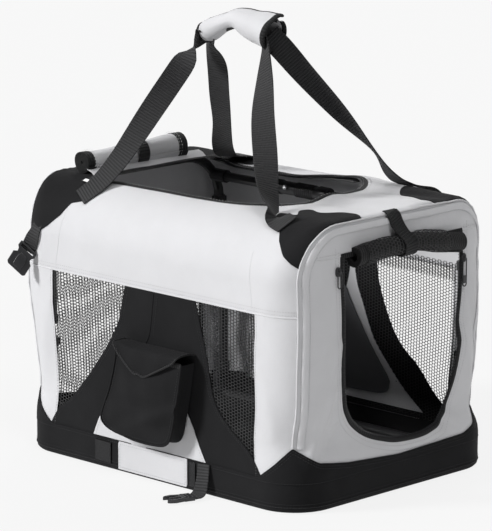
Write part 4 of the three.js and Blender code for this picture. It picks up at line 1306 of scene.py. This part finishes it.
def build_legs():
    """Four webbing legs, each with the turns that it hangs in."""
    legs = {
        "front_left": [((-103, -6, 664), (0.3, -0.7, 0.6)), ((-114, -12, 655), (0.4, -0.4, 0.7)),
                       ((-123, -50, 608), (0.6, 0.5, -0.4)),
                       ((-133, -97, 552), (0.76, 0.36, -0.52)),
                       ((-145, -142, 494), (0.92, 0.1, -0.38)),
                       ((-159, -162, 462), (0.96, 0, -0.27)),
                       ((-173, -180, 438), (0.98, -0.06, -0.18)),
                       ((-190, -200, 418), (0.98, -0.1, -0.12))],
        "rear_left": [((-98, 3, 666), turned(80)), ((-106, 9, 646), turned(72)),
                      ((-107, 22, 612), turned(38)), ((-118, 38, 562), turned(38)),
                      ((-138, 64, 508), turned(48)), ((-158, 86, 466), turned(34)),
                      ((-172, 112, 446), (0.94, 0.2, 0.1)), ((-180, 150, 441), (1, 0, 0)),
                      ((-184, 184, 432), (1, 0, 0)), ((-186, 204, 414), (1, 0, 0))],
        "front_right": [((20, -4, 676), turned(80)), ((33, -13, 656), turned(74)),
                        ((52, -34, 614), turned(52)), ((84, -70, 564), turned(24)),
                        ((126, -108, 514), turned(-4)), ((160, -138, 474), turned(-36)),
                        ((186, -157, 451), turned(-66)), ((203, -167, 440), turned(-82)),
                        ((222, -175, 437), (-0.1, 0.86, 0.5)), ((242, -180, 434), (0, 0.84, 0.54))],
        "rear_right": [((24, 4, 676), (0.4, 0.6, 0.6)), ((46, 12, 656), (0.5, 0.5, 0.7)),
                       ((76, 34, 614), (0.5, 0.1, 0.8)), ((114, 64, 562), (0.66, -0.2, 0.72)),
                       ((158, 100, 500), (0.5, -0.75, 0.45)), ((172, 128, 458), (0.8, -0.35, 0.2)),
                       ((180, 152, 442), (0.97, -0.1, 0.1)), ((196, 182, 433), (1, 0.1, 0)),
                       ((206, 202, 416), (1, 0, 0))],
    }
    for name, stations in legs.items():
        leg = strap(f"leg_{name}", stations, *LEG_SIZE, "webbing", "top_frame",
                    ("handle_drop", LEG_REST, LEG_KEEP), above=LEG_REST)
        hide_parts(f"handle_leg_{name}")
        strap(f"leg_root_{name}", stations, *LEG_SIZE, "webbing", "top_frame", below=LEG_REST)


# ---------------------------------------------------------------- pocket
POCKET_DEPTH = 27.0
POCKET_FACE = -HALF_W - POCKET_DEPTH  # y of the pocket's front edge
POCKET_CLOTH = 1.3


def build_pocket():
    """A boxed pocket with a slack front, a gusset and a fold-over flap."""
    curve = through([(94, 205), (88, 170), (78, 120), (70, 88), (60, 74), (40, 69), (0, 68),
                     (-30, 71), (-68, 78), (-84, 90), (-80, 108), (-66, 140), (-56, 172),
                     (-50, 198)], 5)
    front_line = np.vstack([curve, [(-50, 205)]])
    middle = np.array([8.0, 150.0])
    uv, faces = fill(front_line, 8.0)
    full = smooth(edge_distance(uv, front_line) / 42)
    depth = POCKET_DEPTH + 6 * full
    depth = depth + 4 * bump(uv[:, 1] - 0.45 * uv[:, 0], 96, 9) - 3 * bump(uv[:, 1], 128, 12) * full
    ripple = np.stack([uv[:, 0], 0 * uv[:, 0], uv[:, 1]], axis=1)
    depth = depth + 2.2 * waves(ripple, 60, 41) * full
    y = -HALF_W - 3 - depth
    outer = np.stack([uv[:, 0], y, uv[:, 1]], axis=1)
    normal = np.tile([0.0, -1, 0], (len(uv), 1))
    faces = facing(outer, faces, normal)
    body = cloth_piece("pocket_front", outer, outer + [0, POCKET_CLOTH, 0], faces, "black", uv=uv,
                       sharp=60, **POCKET)
    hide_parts("pocket_body")
    rim = spaced(front_line, 6)
    inward = (middle - rim) / np.linalg.norm(middle - rim, axis=1)[:, None]

    def loop_at(y, inset=0.0):
        """The pocket's outline at depth y, drawn in by inset."""
        line = rim + inward * inset
        return np.stack([line[:, 0], np.full(len(line), y), line[:, 1]], axis=1)

    grid = np.array([loop_at(-HALF_W - 1.8 - (POCKET_DEPTH + 1) * share,
                             3.0 * math.sin(math.pi * share)) for share in np.linspace(0, 1, 6)])
    n, m = grid.shape[:2]
    flat = grid.reshape(-1, 3)
    outward = unit(flat - [middle[0], -HALF_W - 14, middle[1]]) * [1, 0, 1]
    outward = unit(outward)
    span = np.stack([np.tile(np.arange(m) * 6.0, n), np.repeat(np.linspace(0, 26, n), m)], axis=1)
    cloth_piece("pocket_gusset", flat, flat - outward * POCKET_CLOTH,
                facing(flat, quads(n, m), outward), "black", uv=span, sharp=60, **POCKET)
    ahead = [0, -1, 0]
    sweep("pocket_piping", loop_at(POCKET_FACE - 3.4), ahead, oval(3.0, 3.0, 8), "black", **POCKET)
    sew(loop_at(POCKET_FACE - 4.4, 5), ahead, "thread_black", **POCKET)
    hem = np.stack([np.linspace(-50, 93, 40), np.full(40, POCKET_FACE - 2.8), np.full(40, 203.0)],
                   axis=1)
    sweep("pocket_mouth_tape", hem, ahead, oval(9, 2.4, 10), "binding", **POCKET)
    build_pocket_flap()


def build_pocket_flap():
    """The flap: sewn along its top, over the mouth, and hanging with a soft curl."""
    columns, rows = 34, 24
    u = np.linspace(0, 1, columns)
    grid = np.zeros((rows, columns, 3))
    sewn, crest = -HALF_W - 2.5, POCKET_FACE - 7
    turn = 0.42  # share of the flap that lies over the mouth, before it hangs down
    for i, v in enumerate(np.linspace(0, 1, rows)):
        left = np.interp(v, [0, turn, 0.55, 1], [-56, -50, -44, -3])
        right = np.interp(v, [0, turn, 0.55, 1], [92, 88, 80, 24])
        x = left + (right - left) * u
        over = smooth(v / turn)
        hang = np.maximum(0, v - turn) / (1 - turn)
        curl = 6 * bump(u, 0.08, 0.16) * bump(v, 0.45, 0.22)
        y = sewn + (crest - sewn) * over - 2.5 * math.sin(math.pi * v) - 2.5 * hang
        z = 217 - 3 * over - 38 * hang + curl + 3 * math.sin(math.pi * min(1, v / turn))
        wobble = np.stack([x, np.full_like(x, y), z], axis=1)
        y = y - 1.1 * waves(wobble, 48, 51) * v
        z = z + 1.6 * np.sin(u * 7.0) * v * v
        grid[i] = np.stack([x, y, z], axis=1)
    flat = grid.reshape(-1, 3)
    across = np.gradient(grid, axis=1).reshape(-1, 3)
    down = np.gradient(grid, axis=0).reshape(-1, 3)
    normal = unit(np.cross(down, across))
    normal *= np.sign(normal[:, 2:3] - normal[:, 1:2] + 1e-9)
    span = np.stack([np.tile(u * 148, rows), np.repeat(np.linspace(0, 78, rows), columns)], axis=1)
    flap = cloth_piece("pocket_flap_cloth", flat, flat - normal * 1.6,
                       facing(flat, quads(rows, columns), normal), "black", uv=span, sharp=60,
                       **FLAP)
    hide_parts("pocket_flap")
    loop = np.vstack([grid[:, 0], grid[-1, 1:], grid[::-1, -1][1:]])
    tape = sweep("pocket_flap_binding", spaced(loop, 5), [0, -0.9, 0.3], oval(3.4, 3.4, 10),
                 "binding", **FLAP)
    edge = np.vstack([grid[11:, 1], grid[-2, 2:-2], grid[:10:-1, -2]])
    sew(edge, [0, -0.9, 0.3], "thread_black", lift=1.2, **FLAP)


# ---------------------------------------------------------------- patches and tapes on the front
def build_front_patches():
    label = rectangle(-74, 77, 6, 49)
    patch = panel("front_label", wrap, label, "grey", "root", lift=3.2, step=8)
    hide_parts("front_patch")
    border = rectangle(-71, 74, 9, 46)
    stitch_line(wrap, border + border[:1], "thread_grey", "root", lift=3.6)
    edge, normal = on_skin(wrap, label + label[:1], 5, 2.4)
    sweep("label_edge", edge, normal, oval(2.2, 2.2, 8), "grey", "root")
    for name, x0, x1, z0, z1 in (("left", -127, -92, 11, 44), ("right", 84, 96, 8, 47)):
        panel(f"hook_square_{name}", wrap, rectangle(x0, x1, z0, z1), "hooks", "root", lift=3.6,
              thick=1.6, step=7)
        inner = rectangle(x0 + 2, x1 - 2, z0 + 2, z1 - 2)
        stitch_line(wrap, inner + inner[:1], "thread_black", "root", lift=4.1)


# ---------------------------------------------------------------- straps with buckles
BUCKLE_WEBBING = (25, 1.6)  # width and thickness


def build_buckle_straps():
    plug = strap("plug_webbing", [((115, -231.2, 49), (1, 0, 0)), ((116, -233, 38), (1, 0, 0)),
                                  ((118, -238, 22), (1, 0.05, 0)),
                                  ((120, -245, 9), (0.98, 0.16, 0)),
                                  ((121, -253, 4.8), (0.95, 0.28, 0)),
                                  ((120, -263, 4.2), (0.93, 0.36, 0))],
                 *BUCKLE_WEBBING, "webbing", "buckle_plug", per_span=5)
    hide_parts("plug_strap")
    sock = strap("socket_webbing", [((-262, -222, 372), (0.8, -0.3, -0.3)),
                                    ((-266, -228, 356), (0.85, -0.2, -0.45)),
                                    ((-269, -230.5, 346), (0.72, 0.12, -0.64)),
                                    ((-274.6, -232, 332.3), (0.62, 0.41, -0.66)),
                                    ((-276.9, -236, 325), (0.62, 0.41, -0.66))],
                 *BUCKLE_WEBBING, "webbing", "buckle_socket", per_span=5)
    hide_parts("socket_strap")


def slab(name, origin, across, along, outline, thick, body, holes=()):
    """A moulded flat part with rounded edges: outline is in (across, along) millimetres."""
    across, along = unit(across), unit(along)
    normal = np.cross(across, along)
    flat, faces = fill(outline, 6, holes)
    top = np.array(origin, float) + flat[:, :1] * across + flat[:, 1:] * along
    top = top + normal * (thick / 2)
    faces = facing(top, faces, np.tile(normal, (len(top), 1)))
    obj = cloth_piece(name, top, top - normal * thick, faces, "plastic", body, uv=flat, sharp=35)
    bevelled(obj, 0.0009, 3)
    return obj


def bevelled(obj, width, segments):
    bevel = obj.modifiers.new("bevel", "BEVEL")
    bevel.width, bevel.segments, bevel.limit_method = width, segments, "ANGLE"
    bevel.angle_limit = math.radians(38)


def mirrored(half):
    return half + [(-a, b) for a, b in reversed(half)]


def build_buckles():
    """A side-release buckle: its socket on the upper strap and its plug on the lower one."""
    origin, across, along = (-275, -232, 331), (0.62, 0.41, -0.66), (-0.26, -0.5, -0.83)
    body = mirrored([(16, 0), (17, 9), (13.5, 12), (12.5, 17), (18.5, 21), (18.5, 39), (15, 42)])
    socket = slab("socket_body", origin, across, along, body, 8.5, "buckle_socket",
                  [rectangle(-12.5, 12.5, 2.5, 7.5)])
    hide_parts("buckle_socket")
    badge = mirrored([(6, 15), (8.5, 22), (8.5, 36), (6, 38)])
    slab("socket_rib", origin, across, along, badge, 9.9, "buckle_socket")
    origin, across, along = (121, -262, 5), (0.93, -0.36, 0), (-0.36, -0.93, 0)
    fork = mirrored([(13, 0), (13, 15), (12, 17), (13.6, 26), (15, 31), (12.5, 41), (9, 45),
                     (7.4, 38), (9, 30), (8, 20), (2.2, 19), (2, 38)])
    slots = [rectangle(-9, 9, b, b + 3) for b in (3, 9)]
    plug = slab("plug_body", origin, across, along, fork, 6.0, "buckle_plug", slots)
    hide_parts("buckle_plug")
    rest = mirrored([(11, 12.5), (11, 16.5)])
    slab("plug_bar", origin, across, along, rest, 7.6, "buckle_plug")


def build_sliders():
    """Zip sliders with long wire pulls."""
    upright, width, pull_x = ((0, 1, 0), (0, 0, 1)), 4.0, 314.4
    for hand, y, z, length in (("right", 141, 345, 46), ("left", -142, 366, 26)):
        body = mirrored([(3, -7), (4.8, -3), (4.8, 4), (2.4, 7)])
        slider = slab(f"slider_body_{hand}", (311.3, y, z), *upright, body, 4.4,
                      f"door_slider_{hand}")
        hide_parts(f"door_slider_{hand}")
        bridge = [(312.5, y, z + 5), (315.2, y, z + 4), (315.6, y, z), (315.2, y, z - 4),
                  (312.5, y, z - 5)]
        path = through(bridge, 4)
        sweep(f"slider_bridge_{hand}", path, [0, 1, 0], oval(1.6, 2.6, 8), "plastic",
              f"door_slider_{hand}")
        ring = arc(0, -width, width, 0, 180, 8) + arc(0, width - length, width, 180, 360, 8)
        ring = np.array([(pull_x, y + a, z - 1 + b + 2) for a, b in ring])
        path = spaced(ring, 2.0, True)
        wire = sweep(f"pull_wire_{hand}", path, [1, 0, 0], oval(1.9, 1.9, 8), "plastic",
                     f"door_pull_{hand}", closed=True)
        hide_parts(f"door_pull_{hand}")
        grip = mirrored([(2.6, -length + 6), (3.2, -length + 9), (3.2, -length + 18)])
        if hand == "right":
            slab(f"pull_grip_{hand}", (pull_x, y, z), *upright, grip, 2.2, f"door_pull_{hand}")


# ---------------------------------------------------------------- sleeves, mat and hardware
def build_sleeves():
    """Ribbed sleeves over the split in each side rail."""
    start, bore, wall, rib, collar, length = -160.0, 8.4, 11.0, 12.3, 12.6, 150
    profile = [(bore, 0), (10.6, 0), (wall, 1.5)]
    for first in (5, 78):
        for x in (first + 4.6 * i for i in range(9)):
            profile += [(wall, x), (rib, x + 1.0), (rib, x + 2.2), (wall, x + 3.2)]
    profile += [(11.2, 126), (collar, 129), (collar, 148), (11.6, length), (bore, length)]
    ring = np.array(profile)
    angles = np.linspace(0, 2 * math.pi, 36, endpoint=False)
    for side, sy in (("front", -1), ("rear", 1)):
        points = [[start + x, sy * RAIL_Y + r * math.cos(a), RAIL_Z + r * math.sin(a)]
                  for r, x in ring for a in angles]
        k, n = len(angles), len(ring)
        faces = [[i * k + (j + 1) % k, ((i + 1) % n) * k + (j + 1) % k, ((i + 1) % n) * k + j,
                  i * k + j] for i in range(n) for j in range(k)]
        sleeve = piece(f"ribbed_sleeve_{side}", points, faces, "plastic", f"rail_sleeve_{side}",
                       sharp=35)
        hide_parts(f"rail_sleeve_{side}")


def puffed(obj, limit, pressure=4.0, voxel=6.0, frames_run=20):
    """Swells a closed pad by cloth simulation, no point moving more than limit."""
    bpy.context.view_layer.objects.active = obj
    remesh = obj.modifiers.new("remesh", "REMESH")
    remesh.mode, remesh.voxel_size = "VOXEL", voxel * MM
    apply_modifiers(obj)
    before = np.array([v.co for v in obj.data.vertices])
    cloth_mod = obj.modifiers.new("cloth", "CLOTH")
    cloth_mod.settings.use_pressure = True
    cloth_mod.settings.uniform_pressure_force = pressure
    cloth_mod.settings.effector_weights.gravity = 0
    scene = bpy.context.scene
    for number in range(1, frames_run + 1):
        scene.frame_set(number)
    evaluated = obj.evaluated_get(bpy.context.evaluated_depsgraph_get())
    after = np.array([v.co for v in evaluated.data.vertices])
    obj.modifiers.clear()
    scene.frame_set(1)
    move = after - before
    far = np.linalg.norm(move, axis=1, keepdims=True)
    move *= np.minimum(1, limit * MM / np.maximum(far, 1e-9))
    obj.data.vertices.foreach_set("co", (before + move).astype(np.float32).ravel())
    obj.data.update()
    return obj


def apply_modifiers(obj):
    evaluated = obj.evaluated_get(bpy.context.evaluated_depsgraph_get())
    mesh = bpy.data.meshes.new_from_object(evaluated)
    obj.modifiers.clear()
    obj.data = mesh
    obj.data.shade_smooth()


def build_mat():
    """The quilted floor mat, resting on its board."""
    low, high = millimetres("floor_mat")
    half_x, half_y, radius = high[0] - 7, high[1] - 7, 24
    outline = (arc(half_x - radius, half_y - radius, radius, 0, 90, 5)
               + arc(radius - half_x, half_y - radius, radius, 90, 180, 5)
               + arc(radius - half_x, radius - half_y, radius, 180, 270, 5)
               + arc(half_x - radius, radius - half_y, radius, 270, 360, 5))
    uv, faces = fill(outline, 14)
    edge = smooth(edge_distance(uv, np.array(outline)) / 22)
    channels = np.abs(np.sin(uv[:, 0] * math.pi / 105)) * 0.5 + 0.5
    height = 5 + (high[2] - low[2] - 8) * edge * (0.75 + 0.25 * channels)
    top = np.stack([uv[:, 0], uv[:, 1], low[2] + 1 + height], axis=1)
    bottom = np.stack([uv[:, 0], uv[:, 1], np.full(len(uv), low[2] + 1.0)], axis=1)
    faces = facing(top, faces, np.tile([0.0, 0, 1], (len(uv), 1)))
    points, all_faces = closed_sheet(top, bottom, faces)
    mat = piece("floor_pad", points, all_faces, "black_soft", "root")
    puffed(mat, limit=5, voxel=8)
    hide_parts("floor_mat")


NODE_LOOKS = {"tube_black": "tube", "moulded_black": "plastic", "steel": "steel"}  # by slot


def dress_frame():
    """Frame parts keep their CAD shape, with softened edges and a worked finish."""
    slots = {row["node"]: row["material_slot"] for row in frame["record"]["subparts"]}
    for name, obj in frame["nodes"].items():
        if slots[name] in NODE_LOOKS:
            obj.data.materials.clear()
            obj.data.materials.append(LOOKS[NODE_LOOKS[slots[name]]][0])
            obj.modifiers.new("weld", "WELD").merge_threshold = 0.00002
            bevelled(obj, 0.0006, 2)


# ---------------------------------------------------------------- camera, lights and floor
CAMERA_LENS = 250.18
CAMERA_YAW, CAMERA_PITCH = math.radians(44.475), math.radians(12.277)
CAMERA_DISTANCE, CAMERA_SIDE, CAMERA_HEIGHT = 5.8281, -0.0151, 0.3067


def build_stage():
    scene = bpy.context.scene
    data = bpy.data.cameras.new("camera")
    data.lens, data.sensor_width = CAMERA_LENS, 36
    camera = bpy.data.objects.new("camera", data)
    scene.collection.objects.link(camera)
    cy, sy = math.cos(CAMERA_YAW), math.sin(CAMERA_YAW)
    cp, sp = math.cos(CAMERA_PITCH), math.sin(CAMERA_PITCH)
    back = Vector((sy * cp, -cy * cp, sp))
    camera.location = (Vector((cy, sy, 0)) * CAMERA_SIDE + Vector((0, 0, CAMERA_HEIGHT))
                       + back * CAMERA_DISTANCE)
    camera.rotation_euler = (-back).to_track_quat("-Z", "Y").to_euler()
    data.clip_end = 60
    scene.camera = camera
    scene.view_settings.view_transform = "Standard"

    world = bpy.data.worlds.new("studio")
    world.use_nodes = True
    world.node_tree.nodes["Background"].inputs["Color"].default_value = (1, 1, 1, 1)
    world.node_tree.nodes["Background"].inputs["Strength"].default_value = 0.07
    scene.world = world
    for name, towards, strength, softness in (
        ("key", (-0.5, -0.72, 0.48), 3.6, 14),
        ("top", (0.05, -0.1, 0.99), 0.65, 60),
        ("rim", (-0.35, 0.8, 0.5), 1.0, 40),
        ("side", (0.6, -0.2, 0.78), 0.9, 18),
    ):
        light = bpy.data.lights.new(name, "SUN")
        light.energy, light.angle = strength, math.radians(softness)
        lamp = bpy.data.objects.new(name, light)
        lamp.rotation_euler = Vector(towards).to_track_quat("Z", "Y").to_euler()
        scene.collection.objects.link(lamp)

    mesh = bpy.data.meshes.new("floor")
    mesh.from_pydata([(-30, -30, -0.0005), (30, -30, -0.0005), (30, 30, -0.0005),
                      (-30, 30, -0.0005)], [], [[0, 1, 2, 3]])
    floor = bpy.data.objects.new("floor", mesh)
    scene.collection.objects.link(floor)
    sh = Shader("pale_floor")
    mesh.materials.append(sh.dress(
        Base_Color=(0.07, 0.07, 0.07, 1), Roughness=1.0, Specular_IOR_Level=0.0,
        Emission_Color=(1, 1, 1, 1), Emission_Strength=0.85))


# ---------------------------------------------------------------- assembly
build_stage()
for one_side in ("front", "rear"):
    build_side(one_side)
build_front_trim()
build_base()
build_roof()
build_shoulder_patches()
build_tag()
build_ends()
build_flap_roll()
build_door_roll()
build_handle()
build_pocket()
build_front_patches()
build_buckle_straps()
build_buckles()
build_sliders()
build_sleeves()
build_mat()
dress_frame()
finish_sewing()
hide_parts("wall_front")
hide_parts("wall_rear")
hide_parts("wall_left")
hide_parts("wall_right")
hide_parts("top_panel", "shoulder_front", "shoulder_rear")
